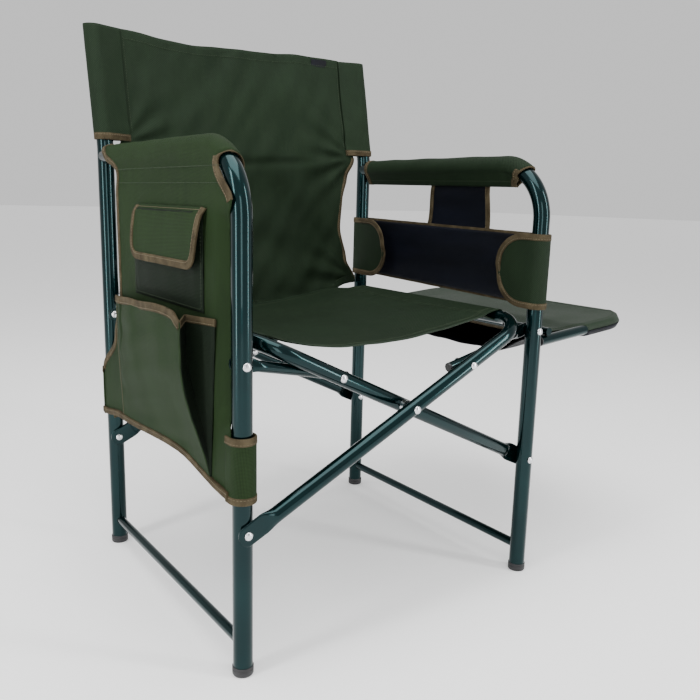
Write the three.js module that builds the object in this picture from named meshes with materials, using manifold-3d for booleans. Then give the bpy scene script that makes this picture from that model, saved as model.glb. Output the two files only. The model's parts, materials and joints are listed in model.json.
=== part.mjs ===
// Folding camp chair with a side table and a side organiser.
// Millimetres, +Z up. The sitter faces -Y; the organiser is on the -X side ("pocket" side),
// the folding table on the +X side ("table" side). Modelled in the open, ready-to-sit state.
import * as THREE from 'three';
import { mergeVertices } from 'three/addons/utils/BufferGeometryUtils.js';
import Module from 'manifold-3d';

const wasm = await Module();
wasm.setup();

// ---------------------------------------------------------------- driving dimensions

const LEG_SPACING_X = 500;      // between the leg axes, side to side
const LEG_SPACING_Y = 446;      // between the leg axes, front to rear
const LOWER_PIVOT_Z = 189;      // cross frames to legs
const UPPER_PIVOT_Z = 394;      // links to legs
const CROSS_Z = 310;            // where the two cross frames are riveted to each other
const FOLDED_ANGLE = 57;        // cross tubes from horizontal when folded, degrees: the rails meet the arms
const ARM_Z = 640;              // arm tube axis
const ARM_BEND = 80;            // bend from front leg to arm
const POST_KNEE_Z = 655;        // where the rear post starts to lean back
const POST_LEAN = 11.5;         // degrees
const POST_TOP_Z = 832;
const POST_BEND = 60;
const CAP_H = 5.6;              // post cap above the tube's end

const LEG_D = 25;
const CROSS_D = 20;
const LINK_D = 14;
const STRETCHER_D = 14;
const TABLE_TUBE_D = 16;
const TABLE_RAIL_D = 12;
const TUBE_WALL = 1.2;

const SEAT_RAIL_X = 212;        // seat rail axis from the middle of the chair
const SEAT_RAIL_BEND = 50;
const STRETCHER_Z = 41;
const FOOT_FLANGE = 12;         // height of the plastic foot below the tube
const FOOT_D = 27;
const FOOT_ROUND = 1.5;
const LINK_TAIL = 22;           // open link end past its rivet

const GAP = 0.3;                // between pieces that touch
const PIN_D = 5;                // rivet shanks
const PIN_CLEARANCE = 0.3;      // all round a shank
const HEAD_D = 11;
const HEAD_H = 2.6;
const CENTRE_PIN_D = 6;
const PRESSED_T = 2.9;          // thickness of a tube end pressed flat
const PRESSED_WIDEN = 1.42;     // a pressed end is wider than its tube by this
const PRESSED_SLIT = 0.5;       // what is left of the bore in a pressed end
const PRESSED_TIP = 12;         // from a cross tube's rivet to its tip
const CROSS_FLAT = { length: 36, fade: 18 };    // pressed flat from the tip, and where it fades out
const LINK_FLAT = { length: 24, fade: 16 };
const LINK_TIP = 9;
const LINK_JOGGLE = { fromLeg: 36, fromRivet: 34, radius: 60 };  // between its two layers
const SHOULDER_D = 16;          // of the centre rivets, between the two frames
const ARM_PLUG = { length: 22, neck: 6 };       // inside the arm tube's rear end
const FOOT_SPIGOT = 16;         // plastic ends: how far each goes into its tube
const CAP_SPIGOT = 14;
const LINK_PLUG = 9;
const TABLE_PLUG = 12;
const PLUG_HEAD = 3;            // plug heads outside the tube

const CLOTH_T = 2.4;            // cloth with its hems and lining
const SLEEVE_GAP = 0.5;         // sleeve to a straight tube
const ARM_SLEEVE_GAP = 1;       // sleeve to the bent arm tube
const PLUG_GAP = 0.5;           // plug to bore
const SEAT_LENGTH = 394;        // front edge to rear edge
const SEAT_SAG = 22;            // middle of the seat below the rails
const HALF_GAP = 0.6;           // from the middle to each half of the seat
const RAIL_END_GAP = 2;         // seat sleeve to the rail's bends
const BACK_TOP_Z = 834;
const BACK_SLEEVE_BOTTOM_Z = 666;
const BACK_WAIST_X = 198;       // half width of the back at its waist
const BACK_WAIST_Z = 550;
const BACK_FOOT_X = 209;
const BACK_FOOT_Z = 426;
const BACK_SHOULDER = 12;       // the back's edge to the post, just under its sleeve

const POCKET_SLEEVE = { front: 47, rear: 33 };      // its ends, in from the leg axes
const PANEL_BOTTOM_Z = 230;
const PANEL_REAR = 87;           // rear edge of the panel in front of the rear leg axis
const PANEL_STRAP_TOP_Z = 305;
const PANEL_MOUTH_Z = 578;      // where the slanted front edge of the panel meets the leg
const PANEL_WAIST = { bottom: 430, top: 520 };  // straight stretch of the panel's rear edge
const SMALL_POCKET = { front: -160, rear: 68, bottom: 431, top: 566 };
const FLAP = { front: -168, rear: 48, bottom: 490, top: 572, corner: 22 };
const LARGE_POCKET = { front: -190, rear: 134, bottom: 246, top: 436, depth: 38 };
// The large pocket's bulge: distances from its front and rear ends, and depths as shares.
const POCKET_BULGE = { nose: 28, full: 60, slack: 96, noseDepth: 0.9, slackDepth: 0.8 };

const TABLE_SLEEVE = { front: 53, rear: 25, bottom: 607, cutBack: 22 };
const BAND = { bottom: 440, top: 548, flapFront: 68, flapRear: 92 };
const TAB = { front: -100, rear: 30 };

const TABLE_REACH = 213;        // from the hinge rail axis to the outer tube axis
const TABLE_BEND = 58;
const TABLE_TILT = 5;           // outer edge up, degrees
const TABLE_RAIL_OUT = 27;      // hinge rail axis outside the leg axis
const TABLE_RAIL_DROP = 3;      // hinge rail axis below the upper leg pivot
const TABLE_END_INSET = 2.4;    // table arms' ends clear of the legs' outer faces
const TABLE_COVER_INNER = 14;   // inner cover edge from the rail axis
const TABLE_NOTCH = { reach: 96, depth: 36 };
const BRACKET_T = 2;
const BRACKET_W = 20;

// ---------------------------------------------------------------- derived dimensions

const rad = THREE.MathUtils.degToRad;
const halfX = LEG_SPACING_X / 2;
const frontY = -LEG_SPACING_Y / 2;
const rearY = LEG_SPACING_Y / 2;
const legR = LEG_D / 2;
const crossR = CROSS_D / 2;
const linkR = LINK_D / 2;
const openAngle = Math.atan2(CROSS_Z - LOWER_PIVOT_Z, halfX);
const lowerArm = Math.hypot(halfX, CROSS_Z - LOWER_PIVOT_Z);
const railReach = SEAT_RAIL_X / Math.cos(openAngle);
const pivotRise = UPPER_PIVOT_Z - LOWER_PIVOT_Z;

// The link rivet's place along the cross tube. A link of fixed length joins it to the leg, and
// the legs stay upright in both end states, so the chain closes when open and when folded only if
// 1 / reach + 1 / lowerArm = 2 (sin open + sin folded) / pivotRise.
const linkReach =
  1 / ((2 * (Math.sin(openAngle) + Math.sin(rad(FOLDED_ANGLE)))) / pivotRise - 1 / lowerArm);

// Layers along Y at the front; the rear ones are the same turned half way round.
// Cross frame A starts on the front faces of the pocket-side legs, B on the rear faces of the
// table-side legs.
const layerA = frontY - legR - GAP - PRESSED_T / 2;
const layerB = frontY + legR + GAP + PRESSED_T / 2;

// ---------------------------------------------------------------- materials

const material = (color, roughness, metalness) =>
  new THREE.MeshStandardMaterial({ color, roughness, metalness });
const enamel = () => material(0x0e3a38, 0.28, 0.35);
const rivetSteel = () => material(0xc9ccd0, 0.3, 0.9);
const blackPlastic = () => material(0x111214, 0.55, 0);
const greenCloth = () => material(0x3d4f3a, 0.85, 0);
const oliveCloth = () => material(0x4a5f3f, 0.85, 0);
const darkLining = () => material(0x12151c, 0.6, 0);

// ---------------------------------------------------------------- geometry helpers

const chair = new THREE.Group();

function addMesh(name, geometry, mat, parent = chair) {
  const mesh = new THREE.Mesh(geometry, mat);
  mesh.name = name;
  parent.add(mesh);
  return mesh;
}

function toSolid(geometry) {
  const bare = geometry.clone();
  bare.deleteAttribute('normal');
  bare.deleteAttribute('uv');
  const merged = mergeVertices(bare, 1e-4);
  return new wasm.Manifold(
    new wasm.Mesh({
      numProp: 3,
      vertProperties: new Float32Array(merged.attributes.position.array),
      triVerts: new Uint32Array(merged.index.array),
    }),
  );
}

function toGeometry(solid) {
  const mesh = solid.getMesh();
  const geometry = new THREE.BufferGeometry();
  geometry.setAttribute('position', new THREE.BufferAttribute(mesh.vertProperties, 3));
  geometry.setIndex(new THREE.BufferAttribute(mesh.triVerts, 1));
  geometry.computeVertexNormals();
  return geometry;
}

const cut = (geometry, ...tools) =>
  toGeometry(tools.reduce((solid, tool) => solid.subtract(toSolid(tool)), toSolid(geometry)));
const join = (...geometries) =>
  toGeometry(geometries.map(toSolid).reduce((a, b) => a.add(b)));

// A tube's centre line: straight runs between corner points, an arc of the given radius at each
// inner corner. Its stations are the ends of the runs, a few steps round each arc, and the
// distances asked for near the two ends, where a pressed end needs them.
class TubePath extends THREE.Curve {
  constructor(corners, bendRadii, { arcSteps = 6, nearStart = [], nearEnd = [] } = {}) {
    super();
    this.stations = [];
    const points = corners.map((c) => new THREE.Vector3(...c));
    const add = (point, tangent) => this.stations.push({ point, tangent });
    const last = points.length - 1;
    const heading = (i) => points[i + 1].clone().sub(points[i]).normalize();
    const along = (i, d, direction) => points[i].clone().addScaledVector(direction, d);
    [0, ...nearStart].forEach((d) => add(along(0, d, heading(0)), heading(0)));
    for (let i = 1; i < last; i++) {
      const from = heading(i - 1);
      const to = heading(i);
      const turn = from.angleTo(to);
      const radius = bendRadii[i - 1];
      const setback = radius * Math.tan(turn / 2);
      const axis = from.clone().cross(to).normalize();
      const inward = axis.clone().cross(from);
      const start = points[i].clone().addScaledVector(from, -setback);
      const centre = start.clone().addScaledVector(inward, radius);
      for (let k = 0; k <= arcSteps; k++) {
        const angle = (turn * k) / arcSteps;
        const spoke = inward.clone().multiplyScalar(-radius).applyAxisAngle(axis, angle);
        add(centre.clone().add(spoke), from.clone().applyAxisAngle(axis, angle));
      }
    }
    const arrival = heading(last - 1);
    [...nearEnd].reverse().concat(0).forEach((d) => add(along(last, -d, arrival), arrival));
  }

  get steps() {
    return this.stations.length - 1;
  }

  station(u) {
    return this.stations[Math.round(u * this.steps)];
  }

  getPointAt(u) {
    return this.station(u).point.clone();
  }

  getTangentAt(u) {
    return this.station(u).tangent.clone();
  }
}

// A full circle gets twice as many sides as the curve segments asked for.
function ringShape(outerR, innerR) {
  const shape = new THREE.Shape().absarc(0, 0, outerR, 0, 2 * Math.PI);
  shape.holes.push(new THREE.Path().absarc(0, 0, innerR, 0, 2 * Math.PI));
  return shape;
}

function tube(path, outerR, sides = 12, innerR = outerR - TUBE_WALL) {
  return new THREE.ExtrudeGeometry(ringShape(outerR, innerR), {
    extrudePath: path,
    steps: path.steps,
    curveSegments: sides / 2,
    bevelEnabled: false,
  });
}

// Presses one end of a tube flat in Y. The flat runs `length` back from the tip and fades out
// over `fade`; the tip is rounded. Vertices of a tube's other arm, off this end's axis, stay.
const PRESSED_FACE = 2.2;       // the larger, the more of a pressed end's width is flat
const BLUNT_TIP = 0.16;         // square of the tip's width as a share of the full width
function pressEnd(geometry, path, atEnd, tubeR, { length, fade }) {
  const end = path.stations[atEnd ? path.steps : 0];
  const inward = end.tangent.clone().multiplyScalar(atEnd ? -1 : 1);
  const across = new THREE.Vector3(inward.z, 0, -inward.x).normalize();
  const position = geometry.attributes.position;
  const p = new THREE.Vector3();
  for (let i = 0; i < position.count; i++) {
    p.fromBufferAttribute(position, i).sub(end.point);
    const s = p.dot(inward);
    if (s > length + fade || s < -1) continue;
    const flat = 1 - THREE.MathUtils.smoothstep(s, length, length + fade);
    const dy = p.y - inward.y * s;
    const dw = p.dot(across);
    const offAxis = Math.hypot(dy, dw);
    if (offAxis > tubeR + GAP) continue;
    const inner = offAxis < tubeR - TUBE_WALL / 2;
    const r = inner ? tubeR - TUBE_WALL : tubeR;
    const halfT = inner ? PRESSED_SLIT / 2 : PRESSED_T / 2;
    const rounding = s < tubeR ? Math.sqrt(Math.max(BLUNT_TIP, 1 - (1 - s / tubeR) ** 2)) : 1;
    const halfW = (tubeR * PRESSED_WIDEN - (inner ? TUBE_WALL : 0)) * rounding;
    const flatY = THREE.MathUtils.clamp((dy / r) * PRESSED_FACE, -1, 1) * halfT;
    const flatW = (dw / r) * halfW;
    const newY = THREE.MathUtils.lerp(dy, flatY, flat);
    const newW = THREE.MathUtils.lerp(dw, flatW, flat);
    p.addScaledVector(across, newW - dw);
    p.y += newY - dy;
    p.add(end.point);
    position.setXYZ(i, p.x, p.y, p.z);
  }
  return geometry;
}

// Where a tube that will be pressed needs stations: round its tip, and where the flat fades out.
const pressStations = ({ length, fade }, tubeR) =>
  [tubeR * 0.25, tubeR * 0.75, length, length + fade / 2, length + fade];

// A round bar along Y from y0 to y1, at (x, z).
function barY(x, z, y0, y1, radius, sides = 8) {
  const bar = new THREE.CylinderGeometry(radius, radius, y1 - y0, sides);
  return bar.translate(x, (y0 + y1) / 2, z);
}

// A turned piece whose axis lies along Y, from a profile of [radius, y] points.
function turnedY(x, z, profile, sides = 8) {
  const lathe = new THREE.LatheGeometry(profile.map(([r, y]) => new THREE.Vector2(r, y)), sides);
  return lathe.translate(x, 0, z);
}

// A rivet along Y: a domed head before y0 and another after y1, or a plain end where a head is
// left out.
function rivet(x, z, y0, y1, { firstHead = true, lastHead = true, shankR = PIN_D / 2 } = {}) {
  const r = HEAD_D / 2;
  const dome = [[0, HEAD_H], [r * 0.7, HEAD_H * 0.75], [r, 0]];
  const first = firstHead ? dome.map(([q, h]) => [q, y0 - h]) : [[0, y0]];
  const last = lastHead ? dome.map(([q, h]) => [q, y1 + h]).reverse() : [[0, y1]];
  return turnedY(x, z, [...first, [shankR, y0], [shankR, y1], ...last]);
}

// A short length of leg with its clearance, to cut the end of a tube that meets the leg.
function roundLeg(x, y, z) {
  const leg = new THREE.CylinderGeometry(legR + GAP, legR + GAP, LEG_D * 2, 24);
  return leg.rotateX(Math.PI / 2).translate(x, y, z);
}

const pinHole = (x, z, y0, y1, pinD = PIN_D) => barY(x, z, y0, y1, pinD / 2 + PIN_CLEARANCE);

// An outline in the XZ plane, drawn as [x, z] points, made solid between two values of Y.
function slabY(outline, y0, y1, holes = []) {
  const toPoint = ([x, z]) => new THREE.Vector2(x, z);
  const shape = new THREE.Shape(outline.map(toPoint));
  holes.forEach((hole) => shape.holes.push(new THREE.Path(hole.map(toPoint))));
  const slab = new THREE.ExtrudeGeometry(shape, { depth: y1 - y0, bevelEnabled: false });
  return slab.rotateX(Math.PI / 2).translate(0, y1, 0);
}

// An outline in the XY plane made solid between two heights.
function slabZ(outline, z0, z1) {
  const shape = new THREE.Shape(outline.map(([x, y]) => new THREE.Vector2(x, y)));
  const slab = new THREE.ExtrudeGeometry(shape, { depth: z1 - z0, bevelEnabled: false });
  return slab.translate(0, 0, z0);
}

// An outline in the YZ plane, drawn as [y, z] points, made solid between two values of X.
function slabX(outline, x0, x1) {
  const shape = new THREE.Shape(outline.map(([y, z]) => new THREE.Vector2(y, z)));
  const slab = new THREE.ExtrudeGeometry(shape, { depth: x1 - x0, bevelEnabled: false });
  return slab.rotateX(Math.PI / 2).rotateZ(Math.PI / 2).translate(x0, 0, 0);
}

function arcPoints(cx, cy, radius, fromDeg, toDeg, steps) {
  const points = [];
  for (let k = 0; k <= steps; k++) {
    const a = rad(fromDeg + ((toDeg - fromDeg) * k) / steps);
    points.push([cx + radius * Math.cos(a), cy + radius * Math.sin(a)]);
  }
  return points;
}

const halfTurn = (geometry) => geometry.clone().rotateZ(Math.PI);

// A plastic end piece along +Z: a spigot of the given depth in a tube's bore and a head outside
// it, given as [radius, height] points from the tube's rim.
function endPiece(tubeR, spigot, head, sides) {
  const spigotR = tubeR - TUBE_WALL - PLUG_GAP;
  const profile = [[0, -spigot], [spigotR, -spigot], [spigotR, GAP], ...head];
  const piece = new THREE.LatheGeometry(profile.map(([r, h]) => new THREE.Vector2(r, h)), sides);
  return piece.rotateX(Math.PI / 2);
}

// ---------------------------------------------------------------- side frames

const postPath = (x) => {
  const lean = Math.tan(rad(POST_LEAN)) * (POST_TOP_Z - POST_KNEE_Z);
  return new TubePath(
    [[x, rearY, FOOT_FLANGE + GAP], [x, rearY, POST_KNEE_Z], [x, rearY + lean, POST_TOP_Z]],
    [POST_BEND],
    { arcSteps: 3 },
  );
};

function makeSideFrame(side, x) {
  const legHoles = (y) => [LOWER_PIVOT_Z, UPPER_PIVOT_Z].map((z) =>
    pinHole(x, z, y - LEG_D, y + LEG_D));

  const armPath = new TubePath(
    [[x, frontY, FOOT_FLANGE + GAP], [x, frontY, ARM_Z], [x, rearY, ARM_Z]],
    [ARM_BEND],
    { arcSteps: 9 },
  );
  const pastPost = new THREE.BoxGeometry(LEG_D * 2, LEG_D, LEG_D * 2)
    .translate(x, rearY + LEG_D / 2, ARM_Z);
  const armHoles = [roundLeg(x, rearY, ARM_Z), pastPost, ...legHoles(frontY)];
  addMesh(`${side}_arm_tube`, cut(tube(armPath, legR), ...armHoles), enamel());

  const boltHole = barY(x, ARM_Z, rearY - LEG_D, rearY + LEG_D, PIN_D / 2 + PIN_CLEARANCE);
  addMesh(`${side}_rear_post`, cut(tube(postPath(x), legR), boltHole, ...legHoles(rearY)), enamel());

  // The arm's connector: a bolt through the post, screwed into a plug in the arm tube.
  const plugR = legR - TUBE_WALL - PLUG_GAP;
  const plugStart = rearY - legR - ARM_PLUG.length;
  const plugEnd = rearY - legR - ARM_PLUG.neck;
  const headStart = rearY + legR + GAP;
  addMesh(`${side}_arm_connector`, turnedY(x, ARM_Z, [
    [0, plugStart], [plugR, plugStart], [plugR, plugEnd], [PIN_D / 2, plugEnd],
    [PIN_D / 2, headStart], [HEAD_D / 2, headStart], [HEAD_D / 2, headStart + HEAD_H / 3],
    [HEAD_D / 4, headStart + HEAD_H], [0, headStart + HEAD_H],
  ]), rivetSteel());

  const stretcherPath = new TubePath([[x, frontY, STRETCHER_Z], [x, rearY, STRETCHER_Z]], []);
  const legSaddles = [frontY, rearY].map((y) => roundLeg(x, y, STRETCHER_Z));
  addMesh(`${side}_stretcher`,
    cut(tube(stretcherPath, STRETCHER_D / 2, 10), ...legSaddles), enamel());

  for (const [end, y] of [['front', frontY], ['rear', rearY]]) {
    const footR = FOOT_D / 2;
    const foot = endPiece(legR, FOOT_SPIGOT, [
      [footR, GAP], [footR, FOOT_FLANGE + GAP - FOOT_ROUND],
      [footR - FOOT_ROUND, FOOT_FLANGE + GAP], [0, FOOT_FLANGE + GAP],
    ], 12);
    foot.rotateX(Math.PI).translate(x, y, FOOT_FLANGE + GAP);
    addMesh(`${side}_${end}_foot`, foot, blackPlastic());
  }

  const path = postPath(x);
  const top = path.stations[path.steps];
  const cap = endPiece(legR, CAP_SPIGOT, [
    [legR, GAP], [legR, CAP_H / 2], [legR * 0.7, CAP_H - GAP * 2], [0, CAP_H],
  ], 12);
  const capGroup = new THREE.Group();
  capGroup.position.copy(top.point);
  capGroup.rotation.x = -rad(POST_LEAN);
  chair.add(capGroup);
  addMesh(`${side}_post_cap`, cap, blackPlastic(), capGroup);
}

makeSideFrame('pocket', -halfX);
makeSideFrame('table', halfX);

// ---------------------------------------------------------------- cross frames

// Frame A: from the pocket-side lower pivots up to the table-side seat rail. Frame B is the same
// piece turned half way round.
const tipBack = PRESSED_TIP * Math.cos(openAngle);
const tipDown = PRESSED_TIP * Math.sin(openAngle);
const railX = railReach * Math.cos(openAngle);
const railZ = CROSS_Z + railReach * Math.sin(openAngle);
const linkPivotX = linkReach * Math.cos(openAngle);
const linkPivotZ = CROSS_Z + linkReach * Math.sin(openAngle);
const rearLayerA = -layerB;

const crossPath = new TubePath(
  [
    [-halfX - tipBack, layerA, LOWER_PIVOT_Z - tipDown],
    [railX, layerA, railZ],
    [railX, rearLayerA, railZ],
    [-halfX - tipBack, rearLayerA, LOWER_PIVOT_Z - tipDown],
  ],
  [SEAT_RAIL_BEND, SEAT_RAIL_BEND],
  { arcSteps: 5, nearStart: pressStations(CROSS_FLAT, crossR), nearEnd: pressStations(CROSS_FLAT, crossR) },
);

const crossTube = tube(crossPath, crossR);
pressEnd(crossTube, crossPath, false, crossR, CROSS_FLAT);
pressEnd(crossTube, crossPath, true, crossR, CROSS_FLAT);
const crossHoles = [layerA, rearLayerA].flatMap((y) => [
  pinHole(-halfX, LOWER_PIVOT_Z, y - CROSS_D, y + CROSS_D),
  pinHole(0, CROSS_Z, y - CROSS_D, y + CROSS_D, CENTRE_PIN_D),
  pinHole(linkPivotX, linkPivotZ, y - CROSS_D, y + CROSS_D),
]);
const crossFrame = cut(crossTube, ...crossHoles);
addMesh('cross_frame_a', crossFrame, enamel());
addMesh('cross_frame_b', halfTurn(crossFrame), enamel());

// Centre rivets with a shoulder that keeps the two frames apart. Each is the same on both sides
// of the middle between the two layers.
const layerMiddle = (layerA + layerB) / 2;
const shoulderEnd = (layerB - layerA) / 2 - crossR - GAP;
const pinEnd = (layerB - layerA) / 2 + crossR + GAP;
const centreHalf = [
  [SHOULDER_D / 2, shoulderEnd], [CENTRE_PIN_D / 2, shoulderEnd], [CENTRE_PIN_D / 2, pinEnd],
  [HEAD_D / 2, pinEnd], [HEAD_D / 2 - 1, pinEnd + HEAD_H], [0, pinEnd + HEAD_H],
];
const centreRivet = turnedY(0, CROSS_Z, [
  ...centreHalf.map(([r, y]) => [r, layerMiddle - y]).reverse(),
  ...centreHalf.map(([r, y]) => [r, layerMiddle + y]),
], 10);
addMesh('front_centre_rivet', centreRivet, rivetSteel());
addMesh('rear_centre_rivet', halfTurn(centreRivet), rivetSteel());

// Lower rivets: through the pressed end and the leg.
const pressedStack = legR + GAP + PRESSED_T + GAP;
const lowerA = (y) => rivet(-halfX, LOWER_PIVOT_Z, y - pressedStack, y + legR + GAP);
const lowerRivets = { front: lowerA(frontY), rear: lowerA(rearY) };
addMesh('pocket_front_lower_rivet', lowerRivets.front, rivetSteel());
addMesh('pocket_rear_lower_rivet', lowerRivets.rear, rivetSteel());
addMesh('table_front_lower_rivet', halfTurn(lowerRivets.rear), rivetSteel());
addMesh('table_rear_lower_rivet', halfTurn(lowerRivets.front), rivetSteel());

// ---------------------------------------------------------------- links

// A link at the front of the chair, on the side given by sign: pressed flat on the inner face of
// the leg, `packing` away from it, and riveted to a cross tube whose inner face is at crossFaceY.
function makeLink(sign, packing, crossFaceY) {
  const legFace = frontY + legR + GAP + packing;
  const pressedY = legFace + PRESSED_T / 2;
  const bodyY = crossFaceY + GAP + linkR;
  const fromLeg = new THREE.Vector2(linkPivotX - halfX, linkPivotZ - UPPER_PIVOT_Z);
  const length = fromLeg.length();
  const u = fromLeg.normalize();
  const at = (s, y) => [sign * (halfX + u.x * s), y, UPPER_PIVOT_Z + u.y * s];
  const path = new TubePath(
    [
      at(-LINK_TIP, pressedY), at(LINK_JOGGLE.fromLeg, pressedY),
      at(length - LINK_JOGGLE.fromRivet, bodyY), at(length + LINK_TAIL, bodyY),
    ],
    [LINK_JOGGLE.radius, LINK_JOGGLE.radius],
    { arcSteps: 1, nearStart: pressStations(LINK_FLAT, linkR).slice(0, 4) },
  );
  const body = pressEnd(tube(path, linkR, 10), path, false, linkR, LINK_FLAT);
  const holes = [
    pinHole(sign * halfX, UPPER_PIVOT_Z, pressedY - LINK_D, pressedY + LINK_D),
    pinHole(sign * linkPivotX, linkPivotZ, bodyY - LINK_D, bodyY + LINK_D),
  ];
  return { body: cut(body, ...holes), end: at(length + LINK_TAIL, bodyY), bodyY, pressedY, u };
}

// Plugs are turned about Y so that their axis runs along the link.
function plugGeometry(link, sign) {
  const plug = endPiece(linkR, LINK_PLUG, [
    [linkR, GAP], [linkR, PLUG_HEAD * 0.7], [linkR * 0.6, PLUG_HEAD], [0, PLUG_HEAD],
  ], 10);
  plug.rotateY(Math.atan2(sign * link.u.x, link.u.y));
  return plug.translate(...link.end);
}

function addLink(names, sign, packing, crossFaceY, crossOuterY, turn) {
  const link = makeLink(sign, packing, crossFaceY);
  const place = turn ? halfTurn : (g) => g;
  addMesh(`${names}_link`, place(link.body), enamel());
  addMesh(`${names}_link_plug`, place(plugGeometry(link, sign)), blackPlastic());
  addMesh(`${names}_upper_rivet`, place(rivet(
    sign * halfX, UPPER_PIVOT_Z,
    frontY - legR - GAP, link.pressedY + PRESSED_T / 2 + GAP,
  )), rivetSteel());
  // The rivet between link and cross tube is in two halves, one on each, with a gap between them.
  addMesh(`${names}_link_rivet`, place(rivet(
    sign * linkPivotX, linkPivotZ,
    crossOuterY - GAP, crossFaceY, { lastHead: false },
  )), rivetSteel());
  addMesh(`${names}_link_rivet_tail`, place(rivet(
    sign * linkPivotX, linkPivotZ,
    crossFaceY + GAP, link.bodyY + linkR + GAP, { firstHead: false },
  )), rivetSteel());
}

const packing = BRACKET_T + GAP;
addLink('table_front', 1, packing, layerA + crossR, layerA - crossR, false);
addLink('pocket_front', -1, 0, layerB + crossR, layerB - crossR, false);
addLink('pocket_rear', 1, 0, layerA + crossR, layerA - crossR, true);
addLink('table_rear', -1, packing, layerB + crossR, layerB - crossR, true);

// ---------------------------------------------------------------- side table

const railAxis = [halfX + TABLE_RAIL_OUT, 0, UPPER_PIVOT_Z - TABLE_RAIL_DROP];
const tableTubeR = TABLE_TUBE_D / 2;
const tableRailR = TABLE_RAIL_D / 2;
const table = new THREE.Group();
table.position.set(...railAxis);
table.rotation.y = -rad(TABLE_TILT);
chair.add(table);

// In the table's own frame x runs outwards from the hinge rail, which lies on the arms.
const armDrop = tableRailR + tableTubeR + GAP;
const tableEnd = -(TABLE_RAIL_OUT - legR) + TABLE_END_INSET;
const tablePath = new TubePath(
  [
    [tableEnd, frontY, -armDrop], [TABLE_REACH, frontY, -armDrop],
    [TABLE_REACH, rearY, -armDrop], [tableEnd, rearY, -armDrop],
  ],
  [TABLE_BEND, TABLE_BEND],
  { arcSteps: 5 },
);
addMesh('table_frame_tube', tube(tablePath, tableTubeR, 10), enamel(), table);

const railEnd = rearY + tableTubeR;
const railPath = new TubePath([[0, -railEnd, 0], [0, railEnd, 0]], []);
addMesh('table_hinge_rail', tube(railPath, tableRailR, 12), enamel(), table);

const tablePlugHead = TABLE_END_INSET - 2 * GAP;
for (const [end, y] of [['front', frontY], ['rear', rearY]]) {
  const head = [[tableTubeR, GAP], [tableTubeR, tablePlugHead], [0, tablePlugHead]];
  const plug = endPiece(tableTubeR, TABLE_PLUG, head, 10);
  plug.rotateY(-Math.PI / 2).translate(tableEnd, y, -armDrop);
  addMesh(`table_${end}_plug`, plug, blackPlastic(), table);
}

// The cover is a pillowcase over the frame: open at the rail, with its corners cut back so that
// the arms come out of it.
const coverR = tableTubeR + GAP;
const coverOut = TABLE_REACH + coverR;
const coverHalf = rearY + coverR;
function coverOutline(inset, innerX, notch) {
  const bend = TABLE_BEND + coverR - inset;
  const x1 = coverOut + CLOTH_T / 2 - inset;
  const y1 = coverHalf + CLOTH_T / 2 - inset;
  const outer = [
    ...arcPoints(x1 - bend, -y1 + bend, bend, -90, 0, 7),
    ...arcPoints(x1 - bend, y1 - bend, bend, 0, 90, 7),
  ];
  if (!notch) return [...outer, [innerX, y1], [innerX, -y1]];
  const slope = (sign) => [0, 0.35, 0.7, 1].map((t) => [
    innerX + (TABLE_NOTCH.reach - innerX) * t,
    sign * (y1 - TABLE_NOTCH.depth * (1 - t * t)),
  ]);
  return [...outer, ...slope(1).reverse(), ...slope(-1)];
}
const coverT = CLOTH_T / 2;
addMesh('table_cover', cut(
  slabZ(
    coverOutline(0, TABLE_COVER_INNER, true),
    -armDrop - coverR - coverT, -armDrop + coverR + coverT,
  ),
  slabZ(coverOutline(coverT, -LEG_D, false), -armDrop - coverR, -armDrop + coverR),
), greenCloth(), table);

// Brackets carry the hinge rail outside the table-side legs.
const bracketAngle = Math.atan2(-TABLE_RAIL_DROP, TABLE_RAIL_OUT) * (180 / Math.PI);
const bracketOutline = [
  ...arcPoints(halfX, UPPER_PIVOT_Z, BRACKET_W / 2, 90 + bracketAngle, 270 + bracketAngle, 8),
  ...arcPoints(railAxis[0], railAxis[2], BRACKET_W / 2, -90 + bracketAngle, 90 + bracketAngle, 8),
];
const bracketFace = frontY + legR + GAP;
const bracket = cut(
  slabY(bracketOutline, bracketFace, bracketFace + BRACKET_T),
  pinHole(halfX, UPPER_PIVOT_Z, bracketFace - 1, bracketFace + BRACKET_T + 1),
  barY(railAxis[0], railAxis[2], bracketFace - 1, bracketFace + BRACKET_T + 1, tableRailR + GAP, 12),
);
addMesh('table_front_bracket', bracket, enamel());
const rearBracket = bracket.clone().translate(0, -2 * bracketFace - BRACKET_T, 0);
addMesh('table_rear_bracket', rearBracket, enamel());

// ---------------------------------------------------------------- seat and back

// Half of the seat: a sleeve round the straight part of the rail and a sheet to the middle.
const sleeveIn = crossR + SLEEVE_GAP;
const sleeveOut = sleeveIn + CLOTH_T;
function seatHalf() {
  const ring = slabY(
    arcPoints(railX, railZ, sleeveOut, 0, 337.5, 15),
    layerA + SEAT_RAIL_BEND + RAIL_END_GAP, rearLayerA - SEAT_RAIL_BEND - RAIL_END_GAP,
    [arcPoints(railX, railZ, sleeveIn, 0, 337.5, 15).reverse()],
  );
  const sheet = slabY([
    [railX, railZ + sleeveIn], [railX, railZ + sleeveOut],
    [HALF_GAP, railZ + sleeveOut - SEAT_SAG], [HALF_GAP, railZ + sleeveIn - SEAT_SAG],
  ], -SEAT_LENGTH / 2, SEAT_LENGTH / 2);
  return join(ring, sheet);
}
addMesh('seat_table_half', seatHalf(), greenCloth());
addMesh('seat_pocket_half', halfTurn(seatHalf()), greenCloth());

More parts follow.
